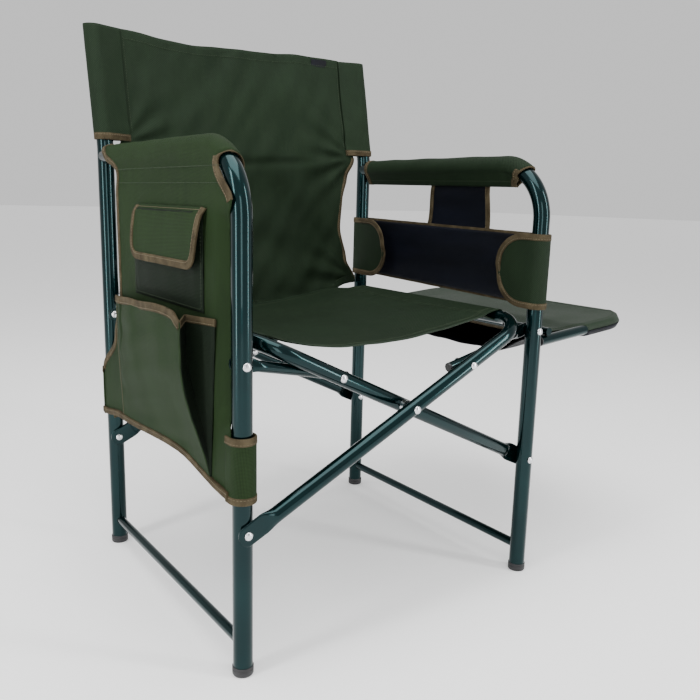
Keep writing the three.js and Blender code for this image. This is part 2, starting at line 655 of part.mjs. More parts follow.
// Half of the back, in the plane of the rear posts: a sleeve round the leaning part of the post
// and a sheet that narrows to a waist and runs down behind the seat.
function backHalf(sign) {
  const lean = Math.tan(rad(POST_LEAN));
  const yAt = (z) => rearY + Math.max(0, z - POST_KNEE_Z) * lean;
  const t = CLOTH_T / 2;
  const profile = [
    [rearY - t, BACK_FOOT_Z], [rearY + t, BACK_FOOT_Z], [rearY + t, POST_KNEE_Z],
    [yAt(BACK_TOP_Z) + t, BACK_TOP_Z], [yAt(BACK_TOP_Z) - t, BACK_TOP_Z], [rearY - t, POST_KNEE_Z],
  ];
  const sheet = slabX(profile, -halfX, halfX);
  const waist = (z) => {
    const f = (z - BACK_WAIST_Z) / (BACK_SLEEVE_BOTTOM_Z - BACK_WAIST_Z);
    const g = (BACK_WAIST_Z - z) / (BACK_WAIST_Z - BACK_FOOT_Z);
    const sleeveFoot = halfX - legR - BACK_SHOULDER;
    return z > BACK_WAIST_Z
      ? BACK_WAIST_X + (sleeveFoot - BACK_WAIST_X) * f ** 2
      : BACK_WAIST_X + (BACK_FOOT_X - BACK_WAIST_X) * g ** 2;
  };
  const sleeveSide = halfX - legR - SLEEVE_GAP - CLOTH_T / 2;
  const heights = [0, 0.25, 0.5, 0.75, 1].map((f) =>
    BACK_FOOT_Z - 1 + (BACK_SLEEVE_BOTTOM_Z - BACK_FOOT_Z + 1) * f);
  const outline = [
    [HALF_GAP / 2, BACK_FOOT_Z - 1],
    ...heights.map((z) => [waist(z), z]),
    [sleeveSide, BACK_SLEEVE_BOTTOM_Z],
    [sleeveSide, BACK_TOP_Z + 1],
    [HALF_GAP / 2, BACK_TOP_Z + 1],
  ].map(([x, z]) => [sign * x, z]);
  if (sign < 0) outline.reverse();
  const window = slabY(outline, rearY - LEG_D, yAt(BACK_TOP_Z) + LEG_D);
  const solidSheet = toGeometry(toSolid(sheet).intersect(toSolid(window)));
  const sleeveLength = (POST_TOP_Z - BACK_SLEEVE_BOTTOM_Z) / Math.cos(rad(POST_LEAN));
  const sleeve = new THREE.ExtrudeGeometry(
    ringShape(legR + SLEEVE_GAP + CLOTH_T, legR + SLEEVE_GAP),
    { depth: sleeveLength, curveSegments: 8, bevelEnabled: false },
  );
  sleeve.rotateX(-rad(POST_LEAN));
  sleeve.translate(sign * halfX, yAt(BACK_SLEEVE_BOTTOM_Z), BACK_SLEEVE_BOTTOM_Z);
  return join(solidSheet, sleeve);
}
addMesh('back_table_half', backHalf(1), greenCloth());
addMesh('back_pocket_half', backHalf(-1), greenCloth());

// ---------------------------------------------------------------- pocket-side organiser

const armSleeveIn = legR + ARM_SLEEVE_GAP;
const armSleeveOut = armSleeveIn + CLOTH_T;
const panelInnerX = -halfX - armSleeveIn;
const panelOuterX = -halfX - armSleeveOut;

// A sleeve round the arm tube, from frontEnd, part of the way down the bend, to rearEnd.
function armSleeve(x, frontEnd, rearEnd) {
  const bendStart = frontY + ARM_BEND;
  const turn = Math.asin((bendStart - frontEnd) / ARM_BEND);
  const setback = ARM_BEND * Math.tan(turn / 2);
  const overrun = setback + 1;
  const path = new TubePath([
    [x, rearEnd, ARM_Z], [x, bendStart - setback, ARM_Z],
    [x, bendStart - setback - overrun * Math.cos(turn), ARM_Z - overrun * Math.sin(turn)],
  ], [ARM_BEND], { arcSteps: 3 });
  return tube(path, armSleeveOut, 12, armSleeveIn);
}

// A strap of the panel round a leg.
function legStrap(y, z0, z1) {
  const ring = new THREE.ExtrudeGeometry(
    ringShape(armSleeveOut, armSleeveIn),
    { depth: z1 - z0, curveSegments: 8, bevelEnabled: false },
  );
  return ring.translate(-halfX, y, z0);
}

const pocketSleeveFrontY = frontY + POCKET_SLEEVE.front;
const pocketSleeveRearY = rearY - POCKET_SLEEVE.rear;
const panelRearY = rearY - PANEL_REAR;
const panel = slabX([
  [frontY, PANEL_BOTTOM_Z], [rearY, PANEL_BOTTOM_Z], [rearY, PANEL_STRAP_TOP_Z],
  [panelRearY, PANEL_WAIST.bottom], [panelRearY, PANEL_WAIST.top],
  [pocketSleeveRearY, ARM_Z], [pocketSleeveFrontY, ARM_Z], [frontY, PANEL_MOUTH_Z],
], panelOuterX, panelInnerX);
addMesh('pocket_side_panel', join(
  panel,
  armSleeve(-halfX, pocketSleeveFrontY, pocketSleeveRearY),
  legStrap(frontY, PANEL_BOTTOM_Z, PANEL_STRAP_TOP_Z),
  legStrap(rearY, PANEL_BOTTOM_Z, PANEL_STRAP_TOP_Z),
), oliveCloth());

const smallPocketOuterX = panelOuterX - GAP - CLOTH_T;
addMesh('small_pocket', slabX([
  [SMALL_POCKET.front, SMALL_POCKET.bottom], [SMALL_POCKET.rear, SMALL_POCKET.bottom],
  [SMALL_POCKET.rear, SMALL_POCKET.top], [SMALL_POCKET.front, SMALL_POCKET.top],
], smallPocketOuterX, panelOuterX - GAP), oliveCloth());

const flapRise = FLAP.bottom + FLAP.corner;
addMesh('small_pocket_flap', slabX([
  ...arcPoints(FLAP.front + FLAP.corner, flapRise, FLAP.corner, 180, 270, 4),
  ...arcPoints(FLAP.rear - FLAP.corner, flapRise, FLAP.corner, 270, 360, 4),
  [FLAP.rear, FLAP.top], [FLAP.front, FLAP.top],
], smallPocketOuterX - GAP - CLOTH_T, smallPocketOuterX - GAP), oliveCloth());

// The large pocket stands open: an outer wall with a gusset at each end and a floor.
const pocketBackX = panelOuterX - GAP;
const pocketWallX = (share) => pocketBackX - LARGE_POCKET.depth * share;
const pocketOutline = (inset, backX) => [
  [backX, LARGE_POCKET.rear - 2 * inset],
  [pocketWallX(POCKET_BULGE.slackDepth) + inset, LARGE_POCKET.rear - POCKET_BULGE.slack],
  [pocketWallX(1) + inset, LARGE_POCKET.front + POCKET_BULGE.full],
  [pocketWallX(POCKET_BULGE.noseDepth) + inset, LARGE_POCKET.front + POCKET_BULGE.nose],
  [backX, LARGE_POCKET.front + 2 * inset],
];
addMesh('large_pocket', cut(
  slabZ(pocketOutline(0, pocketBackX), LARGE_POCKET.bottom, LARGE_POCKET.top),
  slabZ(
    pocketOutline(CLOTH_T, pocketBackX + CLOTH_T),
    LARGE_POCKET.bottom + CLOTH_T, LARGE_POCKET.top + CLOTH_T,
  ),
), oliveCloth());

// ---------------------------------------------------------------- table-side cloth

const tableSleeveFrontY = frontY + TABLE_SLEEVE.front;
const tableSleeveRearY = rearY - TABLE_SLEEVE.rear;
addMesh('table_arm_sleeve', join(
  armSleeve(halfX, tableSleeveFrontY, tableSleeveRearY),
  slabX([
    [tableSleeveFrontY + TABLE_SLEEVE.cutBack, TABLE_SLEEVE.bottom],
    [tableSleeveRearY, TABLE_SLEEVE.bottom],
    [tableSleeveRearY, ARM_Z - armSleeveIn - GAP], [frontY + ARM_BEND, ARM_Z - armSleeveIn - GAP],
  ], halfX - CLOTH_T, halfX + CLOTH_T),
), greenCloth());

// The band goes round the outside of both legs, and its ends lie on their inner sides.
const bandOutX = halfX + armSleeveOut;
const bandOutline = [
  ...arcPoints(halfX, frontY, armSleeveOut, 180, 360, 8),
  ...arcPoints(halfX, rearY, armSleeveOut, 0, 180, 8),
  [halfX - armSleeveOut, rearY - BAND.flapRear], [halfX - armSleeveIn, rearY - BAND.flapRear],
  ...arcPoints(halfX, rearY, armSleeveIn, 180, 0, 8),
  ...arcPoints(halfX, frontY, armSleeveIn, 360, 180, 8),
  [halfX - armSleeveIn, frontY + BAND.flapFront], [halfX - armSleeveOut, frontY + BAND.flapFront],
];
addMesh('table_side_band', slabZ(bandOutline, BAND.bottom, BAND.top), darkLining());

const tabBottom = BAND.top + GAP;
const tabTop = TABLE_SLEEVE.bottom - GAP;
addMesh('table_side_tab', slabY([
  [bandOutX - CLOTH_T, tabBottom], [bandOutX, tabBottom],
  [halfX + CLOTH_T, tabTop], [halfX, tabTop],
], TAB.front, TAB.rear), darkLining());

// ---------------------------------------------------------------- origin

// The origin is on the floor, in the middle of the footprint of the whole chair.
chair.updateMatrixWorld(true);
const bounds = new THREE.Box3().setFromObject(chair, true);
const middle = bounds.getCenter(new THREE.Vector3());
const model = new THREE.Group();
chair.position.set(-middle.x, -middle.y, 0);
model.add(chair);

export default model;
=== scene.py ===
"""Folding camp chair: smooth enamelled tubes, rivets, plastic ends and sewn cloth round the CAD frame.

Metres, +Z up. The sitter faces -Y, the organiser is at -X (pocket side), the table at +X.
"""
import json
import math

import bmesh
import bpy
from mathutils import Matrix, Vector, noise


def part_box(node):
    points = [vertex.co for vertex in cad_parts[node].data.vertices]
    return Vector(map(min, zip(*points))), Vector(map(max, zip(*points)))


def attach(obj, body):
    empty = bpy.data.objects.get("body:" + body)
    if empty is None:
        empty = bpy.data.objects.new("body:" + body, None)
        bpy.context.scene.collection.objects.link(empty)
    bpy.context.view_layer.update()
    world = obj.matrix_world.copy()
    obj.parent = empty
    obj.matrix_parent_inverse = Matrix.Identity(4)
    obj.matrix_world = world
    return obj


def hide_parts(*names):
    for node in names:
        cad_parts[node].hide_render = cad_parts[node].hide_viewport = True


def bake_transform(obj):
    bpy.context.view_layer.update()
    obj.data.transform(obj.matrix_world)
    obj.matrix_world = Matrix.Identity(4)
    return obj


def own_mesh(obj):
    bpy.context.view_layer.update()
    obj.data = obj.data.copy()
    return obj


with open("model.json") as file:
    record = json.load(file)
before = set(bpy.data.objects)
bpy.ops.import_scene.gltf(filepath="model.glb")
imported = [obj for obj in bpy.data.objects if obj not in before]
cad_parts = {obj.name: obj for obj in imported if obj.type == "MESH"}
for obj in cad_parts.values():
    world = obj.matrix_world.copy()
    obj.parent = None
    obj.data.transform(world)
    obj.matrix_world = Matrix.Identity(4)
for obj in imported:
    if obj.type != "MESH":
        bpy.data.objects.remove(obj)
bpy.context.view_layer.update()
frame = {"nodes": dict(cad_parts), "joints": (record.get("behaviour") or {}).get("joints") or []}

X, Y, Z = Vector((1, 0, 0)), Vector((0, 1, 0)), Vector((0, 0, 1))

# ---------------------------------------------------------------- places, from the frame


def corners(node):
    low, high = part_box(node)
    return Vector(low), Vector(high)


def middle(node):
    low, high = corners(node)
    return (low + high) / 2


def joint(name):
    return next(j for j in frame["joints"] if j["name"] == name)


POCKET_X, FRONT_Y = middle("pocket_front_foot").xy
TABLE_X, REAR_Y = middle("table_rear_foot").xy
MID_X, MID_Y = (POCKET_X + TABLE_X) / 2, (FRONT_Y + REAR_Y) / 2
LOWER_Z = joint("fold")["pos_m"][2]
CROSS_Z = joint("cross_pivot")["pos_m"][2]
UPPER_Z = joint("pocket_front_link_pivot")["pos_m"][2]

LEG_R, CROSS_R, LINK_R, STRETCHER_R = 0.0125, 0.010, 0.007, 0.007
TABLE_R, RAIL_R = 0.008, 0.006
ARM_Z, ARM_BEND = 0.640, 0.080
KNEE_Z, POST_TOP_Z, POST_BEND, LEAN = 0.655, 0.832, 0.060, math.radians(11.5)
GAP = 0.0003
PRESSED_T = 0.0029
STRETCHER_Z = middle("pocket_stretcher").z
FOOT_TOP_Z = 0.0123

OPEN_ANGLE = math.atan2(CROSS_Z - LOWER_Z, (TABLE_X - POCKET_X) / 2)
FRONT_LAYER = corners("cross_frame_a")[0].y + CROSS_R
REAR_LAYER = corners("cross_frame_a")[1].y - CROSS_R
RAIL_X = corners("cross_frame_a")[1].x - CROSS_R - MID_X
RAIL_Z = corners("cross_frame_a")[1].z - CROSS_R
RAIL_BEND = 0.050

HINGE = Vector(joint("table_hinge")["pos_m"])
TABLE_TILT = math.radians(5)
TABLE_REACH, TABLE_BEND = 0.213, 0.058
ARM_DROP = RAIL_R + TABLE_R + GAP


def smoothstep(t, low=0.0, high=1.0):
    t = min(1.0, max(0.0, (t - low) / (high - low)))
    return t * t * (3 - 2 * t)


def lerp(a, b, t):
    return a + (b - a) * t


def spread(a, b, count):
    """Values from a to b in that many equal steps."""
    return [lerp(a, b, k / count) for k in range(count + 1)]


def lean_y(z):
    """How far behind the rear leg's axis the post's axis is at height z."""
    return max(0.0, z - KNEE_Z) * math.tan(LEAN)


# ---------------------------------------------------------------- materials


class Nodes:
    """Short calls for building one material's nodes."""

    def __init__(self, name, **sockets):
        self.material = bpy.data.materials.new(name)
        self.material.use_nodes = True
        self.tree = self.material.node_tree
        self.shader = self.tree.nodes["Principled BSDF"]
        for socket, value in sockets.items():
            self.shader.inputs[socket.replace("_", " ")].default_value = value

    def new(self, kind, **settings):
        node = self.tree.nodes.new("ShaderNode" + kind)
        for key, value in settings.items():
            setattr(node, key, value)
        return node

    def put(self, value, socket):
        if isinstance(value, (int, float)):
            socket.default_value = value
        else:
            self.tree.links.new(value, socket)

    def math(self, operation, a, b=0.0, c=0.0):
        node = self.new("Math", operation=operation)
        self.put(a, node.inputs[0])
        self.put(b, node.inputs[1])
        self.put(c, node.inputs[2])
        return node.outputs[0]

    def uv(self):
        """Cloth coordinates in metres, along and up the piece."""
        split = self.new("SeparateXYZ")
        self.tree.links.new(self.new("UVMap", uv_map="metres").outputs[0], split.inputs[0])
        return split.outputs[0], split.outputs[1]

    def wave(self, value, pitch):
        return self.math("SINE", self.math("MULTIPLY", value, 2 * math.pi / pitch))

    def noise(self, scale, detail=3.0, stretch=(1, 1, 1), coordinate="Object"):
        mapping = self.new("Mapping")
        mapping.inputs["Scale"].default_value = stretch
        self.tree.links.new(self.new("TexCoord").outputs[coordinate], mapping.inputs[0])
        texture = self.new("TexNoise")
        texture.inputs["Scale"].default_value = scale
        texture.inputs["Detail"].default_value = detail
        self.tree.links.new(mapping.outputs[0], texture.inputs["Vector"])
        return texture.outputs["Fac"]

    def ramp(self, value, *stops):
        node = self.new("ValToRGB")
        elements = node.color_ramp.elements
        while len(elements) < len(stops):
            elements.new(0.5)
        for element, (position, colour) in zip(elements, stops):
            element.position = position
            element.color = (*colour, 1) if len(colour) == 3 else colour
        self.put(value, node.inputs[0])
        return node.outputs[0]

    def mix(self, factor, a, b, blend="MIX"):
        node = self.new("Mix", data_type="RGBA", blend_type=blend)
        self.put(factor, node.inputs[0])
        for value, socket in ((a, node.inputs[6]), (b, node.inputs[7])):
            if isinstance(value, tuple):
                socket.default_value = (*value, 1)
            else:
                self.tree.links.new(value, socket)
        return node.outputs[2]

    def span(self, value, low, high):
        node = self.new("MapRange")
        self.put(value, node.inputs[0])
        node.inputs[3].default_value = low
        node.inputs[4].default_value = high
        return node.outputs[0]

    def base(self, colour):
        self.tree.links.new(colour, self.shader.inputs["Base Color"])

    def rough(self, value):
        self.tree.links.new(value, self.shader.inputs["Roughness"])

    def bump(self, height, distance, strength=1.0, under=None):
        node = self.new("Bump")
        node.inputs["Strength"].default_value = strength
        node.inputs["Distance"].default_value = distance
        self.put(height, node.inputs["Height"])
        if under is not None:
            self.tree.links.new(under, node.inputs["Normal"])
        self.tree.links.new(node.outputs[0], self.shader.inputs["Normal"])
        return node.outputs[0]


def make_enamel():
    n = Nodes("teal_enamel", Metallic=0.8, Specular_IOR_Level=0.3, Coat_Weight=0.22, Coat_Roughness=0.04)
    cloud = n.noise(14, 4)
    n.base(n.ramp(cloud, (0.3, (0.0006, 0.0125, 0.0140)), (0.7, (0.0010, 0.0185, 0.0195))))
    n.rough(n.span(n.noise(60, 5), 0.12, 0.20))
    n.bump(n.noise(70, 2), 0.00003, 0.12)
    return n.material


def make_cloth(name, dark, light, pitch=0.0016, bias=0.0, sheen=0.0, rough=(0.62, 0.82), relief=0.0005):
    """Plain weave of the given yarn pitch, laid straight or, with a bias, across the piece."""
    n = Nodes(name, Sheen_Weight=sheen, Sheen_Roughness=0.4, Specular_IOR_Level=0.12)
    u, v = n.uv()
    warp = n.math("MULTIPLY_ADD", v, bias, u)
    weft = n.math("MULTIPLY_ADD", u, -bias, v)
    over = n.math("MULTIPLY", n.wave(warp, 2 * pitch), n.wave(weft, 2 * pitch))
    height = n.math("MULTIPLY_ADD", over, 0.5, 0.5)
    fade = n.noise(7, 5)
    slub = n.noise(90, 3, (1, 1, 0.2))
    tone = n.math("ADD", n.math("MULTIPLY", height, 0.75), n.math("MULTIPLY", fade, 0.30))
    tone = n.math("MULTIPLY_ADD", slub, 0.22, n.math("SUBTRACT", tone, 0.11))
    n.base(n.ramp(tone, (0.15, dark), (0.85, light)))
    n.rough(n.span(fade, *rough))
    soft = n.bump(n.noise(45, 4), 0.0014, 0.3)
    n.bump(height, relief, 0.8, under=soft)
    return n.material


def make_lining():
    n = Nodes("coated_lining", Specular_IOR_Level=0.14)
    u, v = n.uv()
    over = n.math("MULTIPLY", n.wave(u, 0.0016), n.wave(v, 0.0016))
    # Noise streaks lighten the base colour as painted highlights and make the coating glossier along them.
    painted_highlight_streaks = n.noise(9, 5, (1, 0.5, 2.5))
    n.base(n.ramp(painted_highlight_streaks, (0.35, (0.0012, 0.0016, 0.0034)), (0.75, (0.0040, 0.0052, 0.0105))))
    n.rough(n.span(painted_highlight_streaks, 0.62, 0.45))
    creases = n.bump(n.noise(26, 5, (1, 1, 2)), 0.0018, 0.35)
    n.bump(over, 0.00018, 0.5, under=creases)
    return n.material


def make_binding():
    """Woven tape: fine ribs along the cloth's edge and a worn, uneven colour."""
    n = Nodes("tan_tape", Specular_IOR_Level=0.12)
    u, v = n.uv()
    ribs = n.math("MULTIPLY", n.wave(u, 0.0017), n.wave(v, 0.0022))
    wear = n.noise(60, 5)
    tone = n.math("MULTIPLY_ADD", ribs, 0.32, wear)
    n.base(n.ramp(tone, (0.2, (0.020, 0.0145, 0.0070)), (0.55, (0.052, 0.040, 0.0215)),
                  (0.9, (0.098, 0.078, 0.044))))
    n.rough(n.span(wear, 0.9, 0.7))
    n.bump(ribs, 0.0003, 0.7)
    return n.material


def make_thread(name, colour):
    n = Nodes(name, Specular_IOR_Level=0.25)
    fuzz = n.noise(900, 2)
    n.base(n.mix(fuzz, colour, tuple(c * 0.6 for c in colour)))
    n.rough(n.span(fuzz, 0.55, 0.8))
    n.bump(n.noise(2600, 1, (1, 1, 3)), 0.0001, 0.5)
    return n.material


def make_steel():
    n = Nodes("rivet_steel", Metallic=1.0)
    scratch = n.noise(700, 4, (1, 0.1, 1))
    n.base(n.ramp(scratch, (0.3, (0.55, 0.56, 0.58)), (0.8, (0.84, 0.85, 0.86))))
    n.rough(n.span(scratch, 0.16, 0.36))
    n.bump(scratch, 0.00003, 0.5)
    return n.material


def make_plastic():
    n = Nodes("black_plastic", Specular_IOR_Level=0.45)
    grain = n.noise(900, 3)
    n.base(n.ramp(n.noise(30, 4), (0.3, (0.006, 0.006, 0.007)), (0.8, (0.018, 0.018, 0.020))))
    n.rough(n.span(grain, 0.38, 0.6))
    n.bump(grain, 0.00006, 0.6)
    return n.material


ENAMEL = make_enamel()
GREEN = make_cloth("green_cloth", (0.0016, 0.0048, 0.0019), (0.0120, 0.0245, 0.0105))
OLIVE = make_cloth("olive_cloth", (0.0014, 0.0048, 0.0010), (0.0150, 0.0345, 0.0085), bias=0.9)
# A darker copy of the olive cloth: painted shade for the small pocket and the pocket gussets.
OLIVE_PAINTED_SHADE = make_cloth("olive_cloth_painted_shade", (0.0006, 0.0017, 0.0008), (0.0075, 0.0150, 0.0068), bias=0.9)
TABLE_CLOTH = make_cloth("table_cloth", (0.0050, 0.0105, 0.0055), (0.0200, 0.0340, 0.0190),
                         rough=(0.38, 0.55))
LINING = make_lining()
TAPE = make_binding()
TAN_THREAD = make_thread("tan_thread", (0.130, 0.105, 0.062))
GREEN_THREAD = make_thread("green_thread", (0.026, 0.042, 0.020))
STEEL = make_steel()
PLASTIC = make_plastic()

# ---------------------------------------------------------------- meshes


class Build:
    """Collects points and faces for one object."""

    def __init__(self):
        self.points, self.faces, self.uvs, self.slots = [], [], [], []

    def add(self, points, faces, uvs=None, slot=0):
        start = len(self.points)
        self.points += [tuple(p) for p in points]
        self.uvs += uvs or [(0.0, 0.0)] * len(points)
        self.faces += [tuple(start + i for i in f) for f in faces]
        self.slots += [slot] * len(faces)

    def rings(self, rings, close=True, cap=True, uvs=None, slot=0):
        """Joins rings of the same count of points into a skin."""
        count = len(rings[0])
        faces = []
        for r in range(len(rings) - 1):
            for k in range(count if close else count - 1):
                a, b = r * count + k, r * count + (k + 1) % count
                faces.append((a, b, b + count, a + count))
        if cap and close:
            faces.append(tuple(reversed(range(count))))
            faces.append(tuple(range((len(rings) - 1) * count, len(rings) * count)))
        self.add([p for ring in rings for p in ring], faces, uvs, slot)

    def make(self, name, materials, smooth=40):
        mesh = bpy.data.meshes.new(name)
        mesh.from_pydata(self.points, [], self.faces)
        layer = mesh.uv_layers.new(name="metres")
        for loop in mesh.loops:
            layer.data[loop.index].uv = self.uvs[loop.vertex_index]
        for material in materials:
            mesh.materials.append(material)
        for face, slot in zip(mesh.polygons, self.slots):
            face.material_index = slot
        shell = bmesh.new()
        shell.from_mesh(mesh)
        bmesh.ops.recalc_face_normals(shell, faces=shell.faces)
        shell.to_mesh(mesh)
        shell.free()
        mesh.shade_smooth()
        mesh.set_sharp_from_angle(angle=math.radians(smooth))
        piece = bpy.data.objects.new(name, mesh)
        bpy.context.scene.collection.objects.link(piece)
        return piece


def place(piece, body, slot, *nodes):
    """Says what a piece rides on, if a body is given, and hides the frame nodes it stands in for; slot is not
    used.
    """
    if body:
        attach(piece, body)
    if nodes:
        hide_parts(*nodes)
    return piece


def sheet(name, point, columns, rows, size, material, thickness=0.0012, bevel_rim=True):
    """A cloth from a function of (u, v) from 0 to 1, whose flat size in metres is given."""
    build = Build()
    points, uvs = [], []
    for j in range(rows + 1):
        for i in range(columns + 1):
            u, v = i / columns, j / rows
            points.append(point(u, v))
            uvs.append((u * size[0], v * size[1]))
    faces = []
    for j in range(rows):
        for i in range(columns):
            a = j * (columns + 1) + i
            faces.append((a, a + 1, a + columns + 2, a + columns + 1))
    build.add(points, faces, uvs)
    piece = build.make(name, [material], smooth=60)
    solid = piece.modifiers.new("thickness", "SOLIDIFY")
    solid.thickness = thickness
    solid.offset = 0
    solid.use_even_offset = bevel_rim
    return piece


def bent_path(points, radii, steps=10, ends=((), ())):
    """Stations (point, direction) along straight runs joined by arcs, with extra ones near the ends."""
    points = [Vector(p) for p in points]
    heading = [(b - a).normalized() for a, b in zip(points, points[1:])]
    stations = [(points[0] + heading[0] * d, heading[0]) for d in (0, *ends[0])]
    for i, radius in enumerate(radii, 1):
        before, after = heading[i - 1], heading[i]
        turn = before.angle(after)
        axis = before.cross(after).normalized()
        inward = axis.cross(before)
        start = points[i] - before * radius * math.tan(turn / 2)
        centre = start + inward * radius
        for k in range(steps + 1):
            spin = Matrix.Rotation(turn * k / steps, 3, axis)
            stations.append((centre - spin @ (inward * radius), spin @ before))
    last = heading[-1]
    stations += [(points[-1] - last * d, last) for d in (*reversed(ends[1]), 0)]
    return stations


PRESS_STEPS = (0.0008, 0.0022, 0.0045, 0.0075)


def press_ends(length, fade):
    return (*PRESS_STEPS, *(length + fade * k / 4 for k in range(5)))


def tube_rings(stations, normal, radius, sides=32, press=(None, None), saddle=(None, None)):
    """Rings round a tube in the plane with that normal. press gives (flat, fade) lengths for an end
    pressed flat across the plane's own thickness, saddle the (centre, axis, radius) of a leg that
    an end is cut to."""
    rings = []
    for point, direction in stations:
        side = normal.cross(direction).normalized()
        shares = []
        for (end, inward), size in zip(((0, 1), (-1, -1)), press):
            if size is None:
                continue
            along = (point - stations[end][0]).dot(stations[end][1] * inward)
            near = (point - stations[end][0]).length < size[0] + size[1] + 0.001
            if near:
                shares.append((1 - smoothstep(along, size[0], size[0] + size[1]), along))
        ring = []
        for k in range(sides):
            angle = 2 * math.pi * k / sides
            across, thick = math.cos(angle) * radius, math.sin(angle) * radius
            for flat, along in shares:
                tip = math.sqrt(max(0.12, 1 - (1 - min(1, along / radius)) ** 2))
                wide = math.copysign(abs(math.cos(angle)) ** 0.8, math.cos(angle)) * radius * 1.42 * tip
                thin = max(-1, min(1, math.sin(angle) * 2.2)) * PRESSED_T / 2
                across, thick = lerp(across, wide, flat), lerp(thick, thin, flat)
            ring.append(point + normal * across + side * thick)
        rings.append(ring)
    for index, cut in zip((0, -1), saddle):
        if cut is None:
            continue
        centre, axis, cut_radius = cut
        direction = stations[index][1]
        for k, p in enumerate(rings[index]):
            sideways = (p - centre).dot(direction.cross(axis).normalized())
            depth = math.sqrt(max(0.0, cut_radius**2 - sideways**2))
            toward = -direction if index else direction
            rings[index][k] = p + direction * ((centre + toward * depth - p).dot(direction))
    return rings


def tube(name, body, node, stations, normal, radius, **options):
    build = Build()
    build.rings(tube_rings(stations, normal, radius, **options))
    return place(build.make(name, [ENAMEL]), body, "enamel", node)


def lathe(build, origin, axis, profile, sides=28, slot=0):
    """Turns a profile of (radius, distance along axis) round an axis."""
    side = axis.orthogonal().normalized()
    other = axis.cross(side)
    rings = []
    for radius, along in profile:
        radius = max(radius, 1e-5)
        ring = []
        for k in range(sides):
            angle = 2 * math.pi * k / sides
            ring.append(origin + axis * along + (side * math.cos(angle) + other * math.sin(angle)) * radius)
        rings.append(ring)
    build.rings(rings, slot=slot)


# ---------------------------------------------------------------- side frames


def arm_tube(side, x, body):
    stations = bent_path(
        [(x, FRONT_Y, FOOT_TOP_Z), (x, FRONT_Y, ARM_Z), (x, REAR_Y - LEG_R, ARM_Z)],
        [ARM_BEND], steps=22, ends=((0.15, 0.30, 0.45), (0.1, 0.2)),
    )
    post = (Vector((x, REAR_Y, ARM_Z)), Z, LEG_R + GAP)
    tube(f"{side}_arm_tube_smooth", body, f"{side}_arm_tube", stations, X, LEG_R, saddle=(None, post))


def rear_post(side, x, body):
    top = (x, REAR_Y + lean_y(POST_TOP_Z), POST_TOP_Z)
    stations = bent_path(
        [(x, REAR_Y, FOOT_TOP_Z), (x, REAR_Y, KNEE_Z), top], [POST_BEND], steps=6, ends=((0.2, 0.4), (0.08,))
    )
    tube(f"{side}_rear_post_smooth", body, f"{side}_rear_post", stations, X, LEG_R)


def stretcher(side, x, body):
    ends = [(x, FRONT_Y + LEG_R, STRETCHER_Z), (x, REAR_Y - LEG_R, STRETCHER_Z)]
    stations = bent_path(ends, [], ends=((0.1,), (0.1,)))
    legs = [(Vector((x, y, STRETCHER_Z)), Z, LEG_R - 0.0002) for y in (FRONT_Y, REAR_Y)]
    tube(f"{side}_stretcher_smooth", body, f"{side}_stretcher", stations, X, STRETCHER_R, saddle=tuple(legs))


def foot(name, body, x, y):
    """A moulded foot: a soft collar, a groove and a rounded sole."""
    build = Build()
    lathe(build, Vector((x, y, 0)), Z, [
        (0, 0), (0.0108, 0), (0.0126, 0.0006), (0.0134, 0.002), (0.0135, 0.0075), (0.0129, 0.0082),
        (0.0129, 0.0090), (0.0135, 0.0097), (0.0135, 0.0114), (0.0131, 0.0122), (0.0105, 0.0124), (0, 0.0124),
    ], sides=36)
    place(build.make(f"{name}_moulded", [PLASTIC]), body, "black_plastic", name)


def post_cap(name, body, x):
    build = Build()
    axis = Vector((0, math.sin(LEAN), math.cos(LEAN)))
    lathe(build, Vector((x, REAR_Y + lean_y(POST_TOP_Z), POST_TOP_Z)), axis, [
        (0, -0.004), (0.0108, -0.004), (0.0108, 0.0003), (0.0126, 0.0003), (0.0127, 0.0022),
        (0.0121, 0.0038), (0.0095, 0.0050), (0.0050, 0.0056), (0, 0.0057),
    ], sides=36)
    place(build.make(f"{name}_moulded", [PLASTIC]), body, "black_plastic", name)


for side, x, body in (("pocket", POCKET_X, "pocket_side_frame"), ("table", TABLE_X, "table_side_frame")):
    arm_tube(side, x, body)
    rear_post(side, x, body)
    stretcher(side, x, body)
    foot(f"{side}_front_foot", body, x, FRONT_Y)
    foot(f"{side}_rear_foot", body, x, REAR_Y)
    post_cap(f"{side}_post_cap", body, x)

# ---------------------------------------------------------------- cross frames and links

CROSS_PRESS = (0.036, 0.018)
LINK_PRESS = (0.024, 0.016)
PRESSED_TIP = 0.012
LINK_TIP = 0.009
LINK_TAIL = 0.022
TABLE_LINK_PACKING = 0.0023


def cross_frame(name, body, sign):
    """sign +1 climbs from the pocket side to the table side; -1 is the same turned half round."""
    low = Vector((MID_X - TABLE_X, 0, LOWER_Z))
    low -= Vector((math.cos(OPEN_ANGLE), 0, math.sin(OPEN_ANGLE))) * PRESSED_TIP
    high = Vector((RAIL_X, 0, RAIL_Z))
    layers = (FRONT_LAYER - MID_Y, REAR_LAYER - MID_Y)
    corner_points = [(low, layers[0]), (high, layers[0]), (high, layers[1]), (low, layers[1])]
    points = [Vector((MID_X + sign * p.x, MID_Y + sign * y, p.z)) for p, y in corner_points]
    stations = bent_path(points, [RAIL_BEND] * 2, steps=14, ends=(press_ends(*CROSS_PRESS),) * 2)
    normal = (points[1] - points[0]).cross(Y).normalized()
    tube(f"{name}_smooth", body, name, stations, normal, CROSS_R, press=(CROSS_PRESS, CROSS_PRESS))


cross_frame("cross_frame_a", "cross_a", 1)
cross_frame("cross_frame_b", "cross_b", -1)


